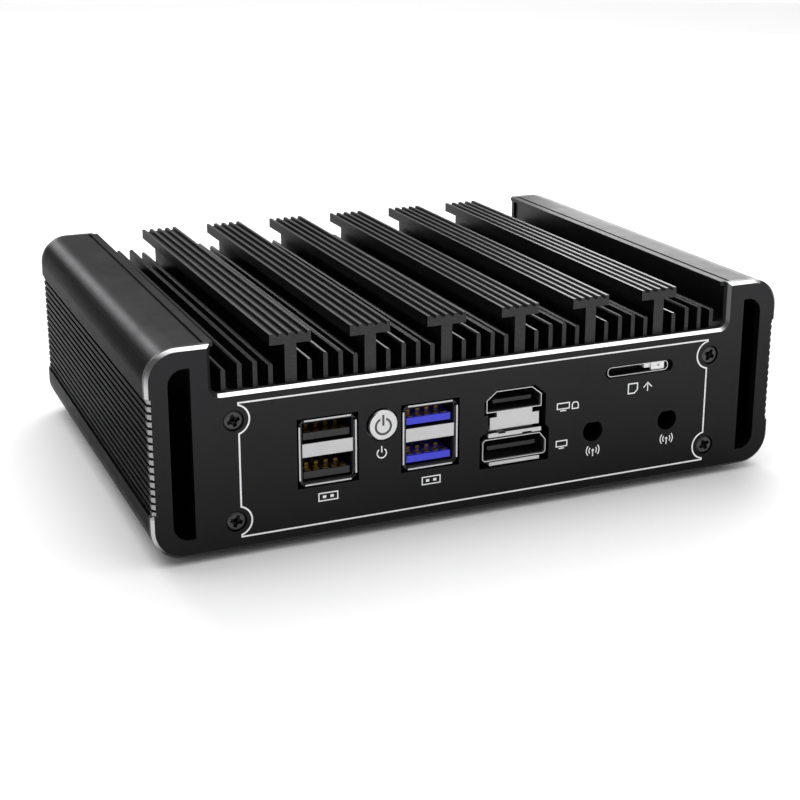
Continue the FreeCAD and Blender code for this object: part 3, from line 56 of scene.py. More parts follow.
class Shader:
    def __init__(self, name):
        self.mat = bpy.data.materials.new(name)
        self.mat.use_nodes = True
        self.tree = self.mat.node_tree
        self.tree.nodes.clear()
        self.out = self.tree.nodes.new("ShaderNodeOutputMaterial")
        self.bsdf = self.tree.nodes.new("ShaderNodeBsdfPrincipled")
        self.link(self.bsdf.outputs[0], self.out.inputs["Surface"])
        self.coord = self.tree.nodes.new("ShaderNodeTexCoord").outputs["Object"]
        self._sep = None
        self._normal = None

    def link(self, a, b):
        self.tree.links.new(a, b)

    def node(self, kind, **props):
        n = self.tree.nodes.new(kind)
        for key, value in props.items():
            setattr(n, key, value)
        return n

    def put(self, socket, value):
        if hasattr(value, "is_output"):
            self.link(value, socket)
        else:
            socket.default_value = value

    def axis(self, letter):
        if self._sep is None:
            self._sep = self.node("ShaderNodeSeparateXYZ")
            self.link(self.coord, self._sep.inputs[0])
        return self._sep.outputs[letter]

    def normal(self, letter):
        if self._normal is None:
            geo = self.node("ShaderNodeNewGeometry")
            self._normal = self.node("ShaderNodeSeparateXYZ")
            self.link(geo.outputs["True Normal"], self._normal.inputs[0])
        return self._normal.outputs[letter]

    def math(self, op, a, b=0.0, c=0.0, clamp=False):
        n = self.node("ShaderNodeMath", operation=op, use_clamp=clamp)
        self.put(n.inputs[0], a)
        self.put(n.inputs[1], b)
        if len(n.inputs) > 2:
            self.put(n.inputs[2], c)
        return n.outputs[0]

    def ramp(self, value, lo, hi, out_lo=0.0, out_hi=1.0):
        if lo > hi:
            lo, hi, out_lo, out_hi = hi, lo, out_hi, out_lo
        n = self.node("ShaderNodeMapRange", clamp=True)
        self.put(n.inputs["Value"], value)
        for key, v in (("From Min", lo), ("From Max", hi), ("To Min", out_lo), ("To Max", out_hi)):
            n.inputs[key].default_value = v
        return n.outputs[0]

    def scaled(self, sx, sy, sz):
        n = self.node("ShaderNodeMapping")
        self.link(self.coord, n.inputs["Vector"])
        n.inputs["Scale"].default_value = (sx, sy, sz)
        return n.outputs[0]

    def noise(self, scale, detail=2.0, rough=0.5, vector=None, distortion=0.0):
        n = self.node("ShaderNodeTexNoise")
        n.inputs["Scale"].default_value = scale
        n.inputs["Detail"].default_value = detail
        n.inputs["Roughness"].default_value = rough
        n.inputs["Distortion"].default_value = distortion
        self.link(vector if vector is not None else self.coord, n.inputs["Vector"])
        return n.outputs["Fac"]

    def voronoi(self, scale, feature="F1", vector=None):
        n = self.node("ShaderNodeTexVoronoi", feature=feature)
        n.inputs["Scale"].default_value = scale
        self.link(vector if vector is not None else self.coord, n.inputs["Vector"])
        return n.outputs["Distance"]

    def mix(self, factor, a, b):
        n = self.node("ShaderNodeMix", data_type="RGBA")
        self.put(n.inputs[0], factor)
        for socket, value in ((n.inputs[6], a), (n.inputs[7], b)):
            if hasattr(value, "is_output"):
                self.link(value, socket)
            else:
                socket.default_value = (value[0], value[1], value[2], 1.0)
        return n.outputs[2]

    def blend(self, factor, a, b):
        n = self.node("ShaderNodeMix", data_type="FLOAT")
        self.put(n.inputs[0], factor)
        self.put(n.inputs[2], a)
        self.put(n.inputs[3], b)
        return n.outputs[0]

    def bump(self, height, strength, distance, normal=None):
        n = self.node("ShaderNodeBump")
        n.inputs["Strength"].default_value = strength
        n.inputs["Distance"].default_value = distance
        self.link(height, n.inputs["Height"])
        if normal is not None:
            self.link(normal, n.inputs["Normal"])
        return n.outputs[0]


def finish_material(name, base, rough, metal=0.0, spec=0.5, grain=0.00025, grain_depth=0.000004,
                    grain_strength=0.35, variation=0.12, rough_spread=0.06, streak=None,
                    coat=0.0, tint=None, smudge=True):
    """Colour with slow variation, roughness with smudges and a real-scale grain in the bump."""
    s = Shader(name)
    slow = s.noise(38.0, 3.0, 0.55)
    fine = s.noise(1.0 / grain, 2.0, 0.6)
    dark = tuple(c * (1.0 - variation) for c in base)
    light = tuple(min(1.0, c * (1.0 + variation)) for c in base)
    tone = s.blend(0.35, slow, fine)
    colour = s.mix(s.ramp(tone, 0.32, 0.68), dark, light)
    s.link(colour, s.bsdf.inputs["Base Color"])
    marks = s.noise(210.0, 4.0, 0.62, distortion=0.6) if smudge else fine
    s.link(s.ramp(marks, 0.3, 0.72, rough - rough_spread, rough + rough_spread),
           s.bsdf.inputs["Roughness"])
    s.bsdf.inputs["Metallic"].default_value = metal
    s.bsdf.inputs["Specular IOR Level"].default_value = spec
    if tint is not None:
        s.bsdf.inputs["Specular Tint"].default_value = (tint, tint, tint, 1.0)
    s.bsdf.inputs["Coat Weight"].default_value = coat
    if coat:
        s.bsdf.inputs["Coat Roughness"].default_value = 0.12
    height = fine
    if streak:
        along = s.noise(1.0, 3.0, 0.6, vector=s.scaled(*streak))
        height = s.blend(0.5, fine, along)
    s.link(s.bump(height, grain_strength, grain_depth), s.bsdf.inputs["Normal"])
    s.base_colour = colour
    s.fine = fine
    return s


def paint(node, shader):
    obj = nodes[node]
    mat = shader.mat
    if not obj.material_slots:
        obj.data.materials.append(mat)
    for slot in obj.material_slots:
        slot.material = mat


# ------------------------------------------------------------------ materials

# black anodised extrusion: blasted grain with draw lines along its length, paler sawn ends and
# polished ridge tops
case = finish_material("case_black_anodised", (0.075, 0.075, 0.0765), 0.33, 1.0, 0.12,
                       grain=0.00016, grain_depth=0.000005, grain_strength=0.22,
                       streak=(2600.0, 9.0, 2600.0), tint=0.40, rough_spread=0.03)
end_face = case.ramp(case.math("ABSOLUTE", case.normal("Y")), 0.9, 0.97)
top_z = (FZ * 1000.0 + 53.2) * 0.001
on_top = case.ramp(case.axis("Z"), top_z - 0.00006, top_z - 0.00002)
mid = case.ramp(case.math("ABSOLUTE", case.axis("X")), 0.060, 0.0605, 1.0, 0.0)
ridge = case.math("MULTIPLY", case.math("MULTIPLY", on_top, mid), case.ramp(case.normal("Z"), 0.8, 0.95))
saw = case.noise(1.0, 3.0, 0.6, vector=case.scaled(420.0, 1.0, 5200.0))
ends = case.mix(case.ramp(saw, 0.35, 0.65), (0.040, 0.040, 0.042), (0.060, 0.060, 0.062))
colour = case.mix(end_face, case.base_colour, ends)
colour = case.mix(ridge, colour, (0.16, 0.16, 0.163))
tips = None
for tip in (46.0, 47.15):
    z = FZ + tip * 0.001
    near = case.math("MULTIPLY", case.ramp(case.axis("Z"), z - 0.00006, z - 0.00002),
                     case.ramp(case.axis("Z"), z + 0.00002, z + 0.00006, 1.0, 0.0))
    tips = near if tips is None else case.math("MAXIMUM", tips, near)
tips = case.math("MULTIPLY", tips, case.math("MULTIPLY", mid, case.ramp(case.normal("Z"), 0.9, 0.97)))
colour = case.mix(tips, colour, (0.34, 0.34, 0.345))
# painted shade: the ribbed flanks and the smooth upright sides are painted a duller black than the rolled
# shoulders, standing in for the dim reflection they show
away = case.math("ABSOLUTE", case.axis("X"))
smooth = case.math("MULTIPLY", case.ramp(away, 0.0800, 0.0812),
                   case.ramp(case.math("ABSOLUTE", case.normal("X")), 0.72, 0.97))
ribbed = case.math("MULTIPLY", case.ramp(away, 0.0868, 0.0870),
                   case.math("MULTIPLY", case.ramp(case.axis("Z"), FZ + 0.0108, FZ + 0.0112),
                             case.ramp(case.axis("Z"), FZ + 0.0420, FZ + 0.0416)))
flank_painted_shade = case.math("MAXIMUM", smooth, ribbed)
colour = case.mix(flank_painted_shade, colour, (0.016, 0.016, 0.0165))
case.link(colour, case.bsdf.inputs["Base Color"])
case.link(case.math("SUBTRACT", 1.0, case.math("MULTIPLY", end_face, 0.85), clamp=True),
          case.bsdf.inputs["Metallic"])

# panels: fine satin coat on the faces, bright cut edge on the bevels
panel = finish_material("panel_dark_grey", (0.020, 0.020, 0.0215), 0.42, 0.0, 0.12,
                        grain=0.00012, grain_depth=0.000004, grain_strength=0.28)
slope = panel.math("ABSOLUTE", panel.normal("Y"))
bevel = panel.math("MULTIPLY", panel.ramp(slope, 0.6, 0.66), panel.ramp(slope, 0.75, 0.81, 1.0, 0.0))
cut_lines = panel.noise(1.0, 2.0, 0.6, vector=panel.scaled(900.0, 30000.0, 900.0))
bright = panel.mix(panel.ramp(cut_lines, 0.3, 0.7), (0.88, 0.88, 0.89), (0.97, 0.97, 0.98))
# painted shade: the bevel is painted duller on the upright edges that face left and on the corners than on the
# level ones, standing in for the light they miss
nx, px = panel.normal("X"), panel.axis("X")
pz = panel.axis("Z")
left_bevel_painted_shade = panel.ramp(nx, -0.16, -0.42)
corner = panel.math("MULTIPLY", panel.ramp(nx, -0.10, -0.25), panel.ramp(nx, -0.68, -0.45))
bright = panel.mix(left_bevel_painted_shade, bright, (0.12, 0.12, 0.122))
bright = panel.mix(panel.math("MULTIPLY", corner, 0.8), bright, (0.20, 0.20, 0.203))
# painted highlight and shade: the bevel round the big left-hand corner is painted to fade from a pale level edge
# through grey to a pale upright edge
left_corner_painted_light = panel.mix(panel.ramp(pz, FZ + 0.0510, FZ + 0.0530), (0.15, 0.15, 0.152), (0.95, 0.95, 0.96))
left_corner_painted_light = panel.mix(panel.ramp(pz, FZ + 0.0492, FZ + 0.0440), left_corner_painted_light, (0.50, 0.50, 0.505))
ribs = panel.math("MULTIPLY", panel.ramp(pz, FZ + 0.0110, FZ + 0.0114),
                  panel.ramp(pz, FZ + 0.0418, FZ + 0.0414))
left_corner_painted_light = panel.mix(ribs, left_corner_painted_light, (0.30, 0.30, 0.303))
outer_left = panel.ramp(px, -0.0790, -0.0800)
bright = panel.mix(outer_left, bright, left_corner_painted_light)
# painted shade: bevels that face down or to the right are painted nearly black and made less metallic
turned_bevel_painted_shade = panel.math("MAXIMUM", panel.ramp(panel.normal("Z"), -0.25, -0.55),
                 panel.ramp(nx, 0.05, 0.25))
bright = panel.mix(turned_bevel_painted_shade, bright, (0.020, 0.020, 0.021))
# painted shade: the panel colour is painted darker towards the lower edge, the more so to the right, and the
# walls of the openings are painted nearly black
ab_x = panel.math("ABSOLUTE", px)
low = panel.blend(panel.ramp(pz, FZ + 0.001, FZ + 0.048),
                  panel.ramp(px, -0.075, 0.075, 0.36, 0.06), 1.26)
wall = panel.math("MULTIPLY", panel.ramp(panel.math("ABSOLUTE", panel.normal("Y")), 0.5, 0.3),
                  panel.math("MULTIPLY", panel.ramp(ab_x, 0.0852, 0.0850),
                             panel.math("MAXIMUM", panel.ramp(panel.axis("Z"), FZ + 0.0376, FZ + 0.0374),
                                        panel.ramp(ab_x, 0.0750, 0.0752))))
# this node scales the panel colour by the painted shade gradient
coat = panel.node("ShaderNodeVectorMath", operation="SCALE")
panel.link(panel.base_colour, coat.inputs[0])
panel.link(low, coat.inputs["Scale"])
panel.base_colour = panel.mix(panel.math("MULTIPLY", wall, 0.9), coat.outputs[0], (0.002, 0.002, 0.002))
panel.link(panel.mix(bevel, panel.base_colour, bright), panel.bsdf.inputs["Base Color"])
panel.link(panel.math("MULTIPLY", bevel, panel.ramp(turned_bevel_painted_shade, 0.0, 1.0, 0.95, 0.3)), panel.bsdf.inputs["Metallic"])
panel.link(panel.blend(bevel, panel.ramp(panel.noise(210.0, 4.0, 0.62), 0.3, 0.72, 0.36, 0.46), 0.30),
           panel.bsdf.inputs["Roughness"])

cover = finish_material("cover_black", (0.02, 0.02, 0.021), 0.55, 0.0, 0.4, grain=0.0004,
                        grain_depth=0.00002, grain_strength=0.5)
rubber = finish_material("foot_rubber", (0.016, 0.016, 0.016), 0.78, 0.0, 0.3, grain=0.0003,
                         grain_depth=0.00002, grain_strength=0.5)
screw_black = finish_material("screw_black", (0.055, 0.055, 0.056), 0.34, 0.6, 0.5, grain=0.0003,
                              grain_depth=0.00001, grain_strength=0.4)
# painted shade: the screw parts sunk more than about 0.4 mm into the panels are painted nearly black, standing
# in for the shadow of their countersinks
shade = screw_black.math("MULTIPLY", screw_black.ramp(screw_black.axis("Y"), FY + 0.00022, FY + 0.00045),
                         screw_black.ramp(screw_black.axis("Y"), REAR - 0.00022, REAR - 0.00045))
shade = screw_black.math("MULTIPLY", shade, screw_black.ramp(screw_black.axis("Z"), FZ + 0.001, FZ + 0.002))
screw_black.link(screw_black.mix(shade, screw_black.base_colour, (0.003, 0.003, 0.003)),
                 screw_black.bsdf.inputs["Base Color"])
steel = finish_material("steel_bright", (0.56, 0.56, 0.565), 0.36, 0.8, 0.5, grain=0.0002,
                        grain_depth=0.000002, grain_strength=0.10, streak=(9000.0, 300.0, 900.0),
                        variation=0.03, rough_spread=0.03)
# painted shade: inside the sockets the same steel is painted dark behind the lips, standing in for the shadow in
# their throats: bright lips, dark throats


def socket_steel(name, start, end, dark):
    m = finish_material(name, (0.56, 0.56, 0.565), 0.36, 0.8, 0.5, grain=0.0002,
                        grain_depth=0.000002, grain_strength=0.10, streak=(9000.0, 300.0, 900.0),
                        variation=0.03, rough_spread=0.03)
    throat_painted_shade = m.math("MULTIPLY", m.ramp(m.axis("Y"), FY + start, FY + end),
                  m.ramp(m.axis("Y"), REAR - 0.0005, REAR - 0.0009))
    m.link(m.mix(throat_painted_shade, m.base_colour, dark), m.bsdf.inputs["Base Color"])
    return m


port_steel = socket_steel("port_steel", 0.00033, 0.00042, (0.035, 0.035, 0.037))
shell_steel = socket_steel("video_shell_steel", 0.00075, 0.0011, (0.06, 0.06, 0.062))
card_steel = socket_steel("card_shell_steel", 0.0006, 0.0009, (0.05, 0.05, 0.052))
jack_steel = socket_steel("jack_shell_steel", -0.010, -0.009, (0.40, 0.40, 0.405))
bracket_steel = finish_material("bracket_steel", (0.56, 0.56, 0.565), 0.36, 0.8, 0.5, grain=0.0002,
                                grain_depth=0.000002, grain_strength=0.10,
                                streak=(9000.0, 300.0, 900.0), variation=0.03, rough_spread=0.03)
# the bracket's level faces lie in the gap between the sockets and hardly catch any light
bracket_steel.link(bracket_steel.mix(bracket_steel.ramp(bracket_steel.math("ABSOLUTE", bracket_steel.normal("Z")), 0.6, 0.85),
                                     bracket_steel.base_colour, (0.012, 0.012, 0.0125)),
                   bracket_steel.bsdf.inputs["Base Color"])
slider_steel = finish_material("card_slider_steel", (0.86, 0.86, 0.865), 0.34, 0.35, 0.5,
                               grain=0.0002, grain_depth=0.000003, grain_strength=0.15,
                               streak=(900.0, 900.0, 9000.0), variation=0.04)
screw_steel = finish_material("screw_steel", (0.62, 0.62, 0.63), 0.32, 0.95, 0.5)
spacer = finish_material("spacer_brass", (0.62, 0.45, 0.18), 0.32, 0.95, 0.5,
                         streak=(600.0, 600.0, 22000.0))
tongue_black = finish_material("tongue_black", (0.012, 0.012, 0.013), 0.32, 0.0, 0.45)
tongue_blue = finish_material("tongue_blue", (0.045, 0.055, 0.78), 0.34, 0.0, 0.45, variation=0.08)
gold = finish_material("contact_gold", (0.72, 0.46, 0.12), 0.30, 0.9, 0.5)
shaded_gold = finish_material("contact_gold_shaded", (0.72, 0.46, 0.12), 0.30, 0.9, 0.5)
# the upper row of the black pair lies in the shade of the shell above it
shaded_gold.link(shaded_gold.mix(shaded_gold.ramp(shaded_gold.axis("Z"), 0.0230, 0.0240),
                                 shaded_gold.base_colour, (0.20, 0.11, 0.03)),
                 shaded_gold.bsdf.inputs["Base Color"])
insert_black = finish_material("video_insert_black", (0.011, 0.011, 0.012), 0.42, 0.0, 0.4)
silver = finish_material("button_silver", (0.77, 0.77, 0.775), 0.36, 0.12, 0.5, grain=0.00012,
                         grain_depth=0.000004, grain_strength=0.25, variation=0.03)
# the side of the button and the left of its bevel stand in the shadow of its hole
silver.link(silver.mix(silver.math("MAXIMUM", silver.ramp(silver.math("ABSOLUTE", silver.normal("Y")), 0.5, 0.3),
                                   silver.ramp(silver.normal("X"), -0.22, -0.45)),
                       silver.base_colour, (0.012, 0.012, 0.0125)),
            silver.bsdf.inputs["Base Color"])
nylon = finish_material("switch_black", (0.018, 0.018, 0.018), 0.5, 0.0, 0.4)
plunger = finish_material("plunger_black", (0.018, 0.018, 0.018), 0.45, 0.0, 0.4)
card_base = finish_material("card_base_black", (0.012, 0.012, 0.013), 0.45, 0.0, 0.4)
slot_black = finish_material("slot_black", (0.02, 0.02, 0.021), 0.5, 0.0, 0.4, grain=0.0004)
chip = finish_material("chip_black", (0.016, 0.016, 0.018), 0.52, 0.0, 0.4, grain=0.0003,
                       grain_depth=0.00001)
package = finish_material("package_green", (0.02, 0.12, 0.06), 0.4, 0.0, 0.5)
silicon = finish_material("silicon", (0.16, 0.17, 0.20), 0.12, 0.6, 0.5)
pad_grey = finish_material("pad_grey", (0.36, 0.36, 0.38), 0.8, 0.0, 0.3, grain=0.0005)
copper = finish_material("copper", (0.66, 0.30, 0.18), 0.34, 0.95, 0.5, streak=(300.0, 14000.0, 300.0))
battery = finish_material("battery_steel", (0.66, 0.66, 0.66), 0.24, 0.95, 0.5,
                          streak=(9000.0, 300.0, 300.0))
ferrite = finish_material("coil_grey", (0.12, 0.12, 0.125), 0.72, 0.0, 0.3, grain=0.0005,
                          grain_depth=0.00003, grain_strength=0.6)
can = finish_material("can_aluminium", (0.62, 0.62, 0.64), 0.3, 0.95, 0.5,
                      streak=(300.0, 300.0, 12000.0))
jack_black = finish_material("jack_insert_black", (0.016, 0.016, 0.017), 0.42, 0.0, 0.4)
lens = finish_material("light_lens", (0.55, 0.60, 0.42), 0.25, 0.0, 0.5, variation=0.04)
inlet_black = finish_material("inlet_black", (0.014, 0.014, 0.015), 0.28, 0.0, 0.5)
pin_nickel = finish_material("inlet_pin_nickel", (0.74, 0.74, 0.74), 0.18, 1.0, 0.5)


def circuit(name, mask_colour, trace_colour, pitch):
    """Solder mask with routed copper showing through it as slightly raised paler lines."""
    s = finish_material(name, mask_colour, 0.34, 0.0, 0.5, grain=0.0003)
    routes = s.voronoi(1.0 / pitch, "DISTANCE_TO_EDGE")
    line = s.ramp(routes, 0.02, 0.07, 1.0, 0.0)
    dots = s.ramp(s.voronoi(0.6 / pitch), 0.10, 0.14, 1.0, 0.0)
    trace = s.math("MAXIMUM", line, dots)
    s.link(s.mix(s.math("MULTIPLY", trace, 0.7), s.base_colour, trace_colour),
           s.bsdf.inputs["Base Color"])
    s.link(s.bump(trace, 0.5, 0.00003), s.bsdf.inputs["Normal"])
    return s


board = circuit("board_green", (0.012, 0.075, 0.038), (0.05, 0.20, 0.09), 0.0022)
memory_green = circuit("memory_green", (0.012, 0.09, 0.045), (0.05, 0.22, 0.1), 0.0015)
drive_green = circuit("drive_green", (0.012, 0.07, 0.06), (0.05, 0.18, 0.13), 0.0015)

for name, shader in {
    "case_extrusion": case, "front_plate": panel, "rear_plate": panel, "bottom_cover": cover,
    "rubber_feet": rubber, "front_panel_screws": screw_black, "rear_panel_screws": screw_black,
    "bottom_cover_screws": screw_black, "board_screws": screw_steel, "board_spacers": spacer,
    "main_board": board, "processor_package": package, "processor_die": silicon,
    "thermal_pad": pad_grey, "copper_heat_block": copper, "memory_slot": slot_black,
    "memory_module": memory_green, "memory_chips": chip, "drive_socket": slot_black,
    "drive_module": drive_green, "drive_chips": chip, "drive_screw": screw_steel,
    "battery_holder": slot_black, "coin_battery": battery, "power_inductors": ferrite,
    "capacitors": can, "network_chips": chip, "black_port_shell": port_steel,
    "black_port_tongues": tongue_black, "black_port_contacts": shaded_gold, "blue_port_shell": port_steel,
    "blue_port_tongues": tongue_blue, "blue_port_contacts": gold, "upper_video_shell": shell_steel,
    "lower_video_shell": shell_steel, "upper_video_insert": insert_black,
    "lower_video_insert": insert_black, "video_contacts": gold, "video_bracket": bracket_steel,
    "card_socket_shell": card_steel, "card_socket_base": card_base, "card_socket_contacts": gold,
    "card_socket_slider": slider_steel, "power_button": silver, "switch_plunger": plunger,
    "switch_body": nylon, "network_jack_shells": jack_steel, "network_jack_inserts": jack_black,
    "network_jack_contacts": gold, "network_jack_lights": lens, "power_inlet_body": inlet_black,
    "power_inlet_pin": pin_nickel,
}.items():
    paint(name, shader)

# ------------------------------------------------------------------ printed lines and pictograms

INK = 0.03      # thickness of the print above the panel, mm
ink = finish_material("printed_ink", (0.95, 0.95, 0.95), 0.5, 0.0, 0.3, grain=0.00008,
                      grain_depth=0.000003, variation=0.03)
dark_ink = finish_material("button_symbol_ink", (0.10, 0.10, 0.105), 0.5, 0.0, 0.3, grain=0.00008,
                           grain_depth=0.000003, variation=0.05)


class Print:
    """Flat shapes with a little thickness on a plane facing -Y (or +Y at the rear)."""

    def __init__(self, name, y, shader, rear=False, thick=INK):
        self.bm = bmesh.new()
        self.name, self.y, self.shader = name, y, shader
        self.sign = 1.0 if rear else -1.0
        self.thick = thick

    def prism(self, outline):
        y0 = self.y - self.sign * 0.01
        y1 = self.y + self.sign * self.thick
        low = [self.bm.verts.new(at(x, y0, z)) for x, z in outline]
        high = [self.bm.verts.new(at(x, y1, z)) for x, z in outline]
        n = len(outline)
        self.bm.faces.new(low)
        self.bm.faces.new(list(reversed(high)))
        for i in range(n):
            j = (i + 1) % n
            self.bm.faces.new([low[j], low[i], high[i], high[j]])

    def ribbon(self, points, width, closed=False):
        """A line of constant width with mitred corners."""
        n = len(points)
        pts = [Vector(p) for p in points]
        left, right = [], []
        for i in range(n):
            prev = pts[i - 1] if (closed or i > 0) else None
            nxt = pts[(i + 1) % n] if (closed or i < n - 1) else None
            d0 = (pts[i] - prev).normalized() if prev is not None else None
            d1 = (nxt - pts[i]).normalized() if nxt is not None else None
            if d0 is None:
                d0 = d1
            if d1 is None:
                d1 = d0
            n0 = Vector((-d0.y, d0.x))
            n1 = Vector((-d1.y, d1.x))
            mitre = (n0 + n1)
            if mitre.length < 1e-6:
                mitre = n0
            mitre.normalize()
            k = min(1.6, 1.0 / max(0.35, mitre.dot(n0)))
            left.append(pts[i] + mitre * (width * 0.5 * k))
            right.append(pts[i] - mitre * (width * 0.5 * k))
        y0 = self.y - self.sign * 0.01
        y1 = self.y + self.sign * self.thick
        rows = []
        for side in (left, right):
            for y in (y0, y1):
                rows.append([self.bm.verts.new(at(p.x, y, p.y)) for p in side])
        ll, lh, rl, rh = rows
        last = n if closed else n - 1
        for i in range(last):
            j = (i + 1) % n
            self.bm.faces.new([lh[i], lh[j], rh[j], rh[i]])
            self.bm.faces.new([ll[j], ll[i], rl[i], rl[j]])
            self.bm.faces.new([ll[i], ll[j], lh[j], lh[i]])
            self.bm.faces.new([rl[j], rl[i], rh[i], rh[j]])
        if not closed:
            self.bm.faces.new([ll[0], lh[0], rh[0], rl[0]])
            self.bm.faces.new([ll[-1], rl[-1], rh[-1], lh[-1]])

    def arc(self, cx, cz, r, a0, a1, width, steps=20, closed=False):
        pts = [(cx + r * math.cos(math.radians(a0 + (a1 - a0) * i / steps)),
                cz + r * math.sin(math.radians(a0 + (a1 - a0) * i / steps)))
               for i in range(steps + (0 if closed else 1))]
        self.ribbon(pts, width, closed)

    def dot(self, cx, cz, r, steps=14):
        self.prism([(cx + r * math.cos(2 * math.pi * i / steps),
                     cz + r * math.sin(2 * math.pi * i / steps)) for i in range(steps)])

    def rect(self, x0, z0, x1, z1, width):
        self.ribbon([(x0, z0), (x1, z0), (x1, z1), (x0, z1)], width, True)

    def build(self, body="case", slot="panel_dark_grey"):
        bmesh.ops.recalc_face_normals(self.bm, faces=self.bm.faces[:])
        mesh = bpy.data.meshes.new(self.name)
        self.bm.to_mesh(mesh)
        self.bm.free()
        obj = bpy.data.objects.new(self.name, mesh)
        scene.collection.objects.link(obj)
        mesh.materials.append(self.shader.mat)
        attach(obj, body)
        return obj


def arc_points(cx, cz, r, a0, a1, steps=18):
    return [(cx + r * math.cos(math.radians(a0 + (a1 - a0) * i / steps)),
             cz + r * math.sin(math.radians(a0 + (a1 - a0) * i / steps)))
            for i in range(steps + 1)]


def frame_line(name, y, rear):
    """Border that steps round the four screws in arcs."""
    p = Print(name, y, ink, rear)
    lx, rx, z0, z1, sx, low, high, r = -66.2, 66.7, 3.28, 37.93, 67.38, 7.5, 33.72, 3.86
    a = math.degrees(math.acos((sx + lx) / r))
    b = math.degrees(math.acos((sx - rx) / r))
    path = [(lx, z1)]
    path += arc_points(-sx, high, r, a, -a, 24)
    path += arc_points(-sx, low, r, a, -a, 24)
    path += [(lx, z0), (rx, z0)]
    path += arc_points(sx, low, r, 180.0 + b, 180.0 - b, 24)
    path += arc_points(sx, high, r, 180.0 + b, 180.0 - b, 24)
    path += [(rx, z1)]
    p.ribbon(path, 0.42, True)
    return p.build()


frame_line("front_border_print", 0.0, False)

W = 0.3
icons = Print("front_pictogram_print", 0.0, ink)
# a plug pictogram under each port stack
for cx, cz in ((-43.6, 10.3), (-15.5, 10.2)):
    icons.rect(cx - 2.5, cz - 1.0, cx + 2.5, cz + 1.0, W)
    icons.prism([(cx - 1.45, cz - 0.35), (cx - 0.55, cz - 0.35), (cx - 0.55, cz + 0.35), (cx - 1.45, cz + 0.35)])
    icons.prism([(cx + 0.55, cz - 0.35), (cx + 1.45, cz - 0.35), (cx + 1.45, cz + 0.35), (cx + 0.55, cz + 0.35)])
# screens beside the video sockets
for x0, z0, wide in ((20.7, 23.7, 3.6), (20.7, 13.2, 3.2)):
    icons.rect(x0, z0 + 0.55, x0 + wide, z0 + 2.1, W)
    icons.ribbon([(x0 + wide * 0.25, z0), (x0 + wide * 0.75, z0)], W)
    icons.ribbon([(x0 + wide * 0.5, z0), (x0 + wide * 0.5, z0 + 0.55)], W)
icons.ribbon([(25.2, 23.9), (27.0, 23.9), (27.0, 25.1), (26.6, 25.65), (25.6, 25.65), (25.2, 25.1)], W, True)
# masts with waves under the antenna holes
for cx in (31.9, 54.95):
    cz = 10.9
    icons.dot(cx, cz + 0.3, 0.38)
    icons.ribbon([(cx, cz + 0.2), (cx, cz - 1.35)], W)
    for r in (1.15, 1.95):
        icons.arc(cx, cz + 0.3, r, -42, 42, W, 10)
        icons.arc(cx, cz + 0.3, r, 138, 222, W, 10)
# card with a cut corner and an arrow towards the slot
icons.ribbon([(42.2, 28.45), (42.2, 25.75), (44.1, 25.75), (45.0, 26.65), (45.0, 28.45)], 0.34, True)
icons.ribbon([(48.2, 25.8), (48.2, 28.1)], W)
icons.ribbon([(46.9, 26.9), (48.2, 28.2), (49.5, 26.9)], W)
# small power pictogram under the button
cx, cz = -29.15, 19.55
icons.arc(cx, cz, 1.25, 125, 415, 0.32, 24)
icons.ribbon([(cx, cz + 0.2), (cx, cz + 1.9)], 0.32)
icons.build()

# symbol filled into the engraving of the button
bx, bz, proud = -28.95, 27.15, 0.6
fill = Print("button_symbol_fill", -proud + 0.11, dark_ink, thick=0.015)
fill.arc(bx, bz - 0.3, 2.04, 112, 428, 0.60, 30)
fill.ribbon([(bx, bz - 0.08), (bx, bz + 2.73)], 0.58)
fill.build("button")

# ------------------------------------------------------------------ floor, light, camera

bm = bmesh.new()
size = 6.0
bmesh.ops.create_grid(bm, x_segments=8, y_segments=8, size=size)
mesh = bpy.data.meshes.new("floor")
bm.to_mesh(mesh)
bm.free()
floor = bpy.data.objects.new("floor", mesh)
scene.collection.objects.link(floor)
floor.location = (0, 0, -0.0001)
s = Shader("floor_pale")
tone = s.noise(3.0, 2.0, 0.5)
s.link(s.mix(tone, (0.90, 0.90, 0.90), (0.93, 0.93, 0.93)), s.bsdf.inputs["Base Color"])
s.bsdf.inputs["Roughness"].default_value = 0.9
s.bsdf.inputs["Specular IOR Level"].default_value = 0.1
mesh.materials.append(s.mat)

# white paper wall round the table, which neither lights the object nor shows in it
bm = bmesh.new()
low = [bm.verts.new((1.75 * math.cos(i * math.pi / 32), 1.75 * math.sin(i * math.pi / 32), -0.0001))
       for i in range(64)]
high = [bm.verts.new((v.co.x, v.co.y, 2.6)) for v in low]
for i in range(64):
    bm.faces.new([low[i], low[(i + 1) % 64], high[(i + 1) % 64], high[i]])
mesh = bpy.data.meshes.new("paper_wall")
bm.to_mesh(mesh)
bm.free()
wall_paper = bpy.data.objects.new("paper_wall", mesh)
scene.collection.objects.link(wall_paper)
s = Shader("paper_white")
s.bsdf.inputs["Base Color"].default_value = (0.0, 0.0, 0.0, 1.0)
s.bsdf.inputs["Specular IOR Level"].default_value = 0.0
s.bsdf.inputs["Emission Color"].default_value = (1.0, 1.0, 1.0, 1.0)
s.bsdf.inputs["Emission Strength"].default_value = 1.0
mesh.materials.append(s.mat)
wall_paper.visible_diffuse = False
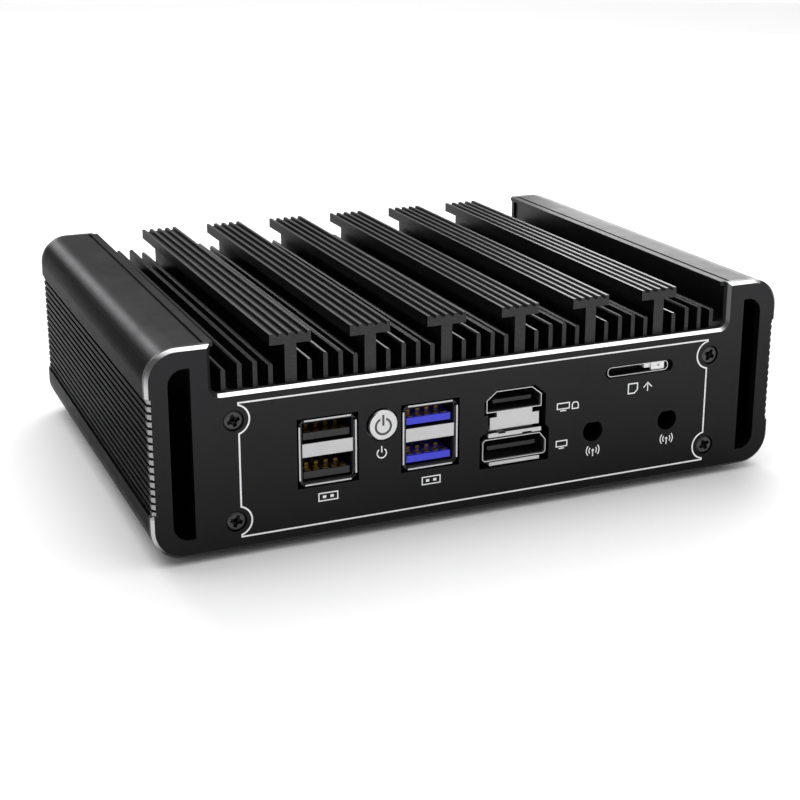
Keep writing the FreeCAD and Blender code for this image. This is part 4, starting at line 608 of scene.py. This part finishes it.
wall_paper.visible_glossy = False
wall_paper.visible_transmission = False
wall_paper.visible_shadow = False

world = bpy.data.worlds.new("studio")
scene.world = world
world.use_nodes = True
world.node_tree.nodes["Background"].inputs[0].default_value = (1.0, 1.0, 1.0, 1.0)
world.node_tree.nodes["Background"].inputs[1].default_value = 0.45


def area(name, location, target, size_x, size_y, radiance):
    light = bpy.data.lights.new(name, "AREA")
    light.shape = "RECTANGLE"
    light.size, light.size_y = size_x, size_y
    light.energy = radiance * math.pi * size_x * size_y
    obj = bpy.data.objects.new(name, light)
    scene.collection.objects.link(obj)
    obj.location = location
    obj.rotation_euler = (Vector(target) - Vector(location)).to_track_quat("-Z", "Y").to_euler()
    obj.visible_camera = False
    return obj


area("top_softbox", (-0.1, 0.3, 1.15), (0, 0.05, 0), 1.5, 1.2, 2.1)
area("front_top", (0.30, -0.50, 0.95), (0, -0.05, 0.03), 1.1, 0.5, 1.5)
area("back_panel_right", (0.86, 0.88, 0.33), (0.03, -0.02, 0.05), 0.62, 0.46, 9.0)
area("back_strip_left", (-0.26, 1.05, 0.40), (-0.08, 0, 0.05), 0.18, 0.34, 10.5)
area("far_wash", (0.9, 2.9, 2.3), (0.9, 2.6, 0), 3.0, 2.4, 2.4)

cam_data = bpy.data.cameras.new("camera")
cam = bpy.data.objects.new("camera", cam_data)
scene.collection.objects.link(cam)
cam_data.sensor_fit = "HORIZONTAL"
cam_data.sensor_width = 36.0
cam_data.lens = 68.777
cam_data.shift_x = 0.0
cam_data.shift_y = -0.0875
cam_data.clip_start = 0.01
cam_data.clip_end = 50.0
az, el = math.radians(-23.102), math.radians(16.416)
back = Vector((math.sin(az) * math.cos(el), -math.cos(az) * math.cos(el), math.sin(el)))
cam.location = at(-166.002, -332.465, 157.712)
cam.rotation_euler = (-back).to_track_quat("-Z", "Y").to_euler()
scene.camera = cam

scene.view_settings.view_transform = "Standard"
scene.view_settings.look = "None"
scene.view_settings.exposure = 0.0
scene.view_settings.gamma = 1.0
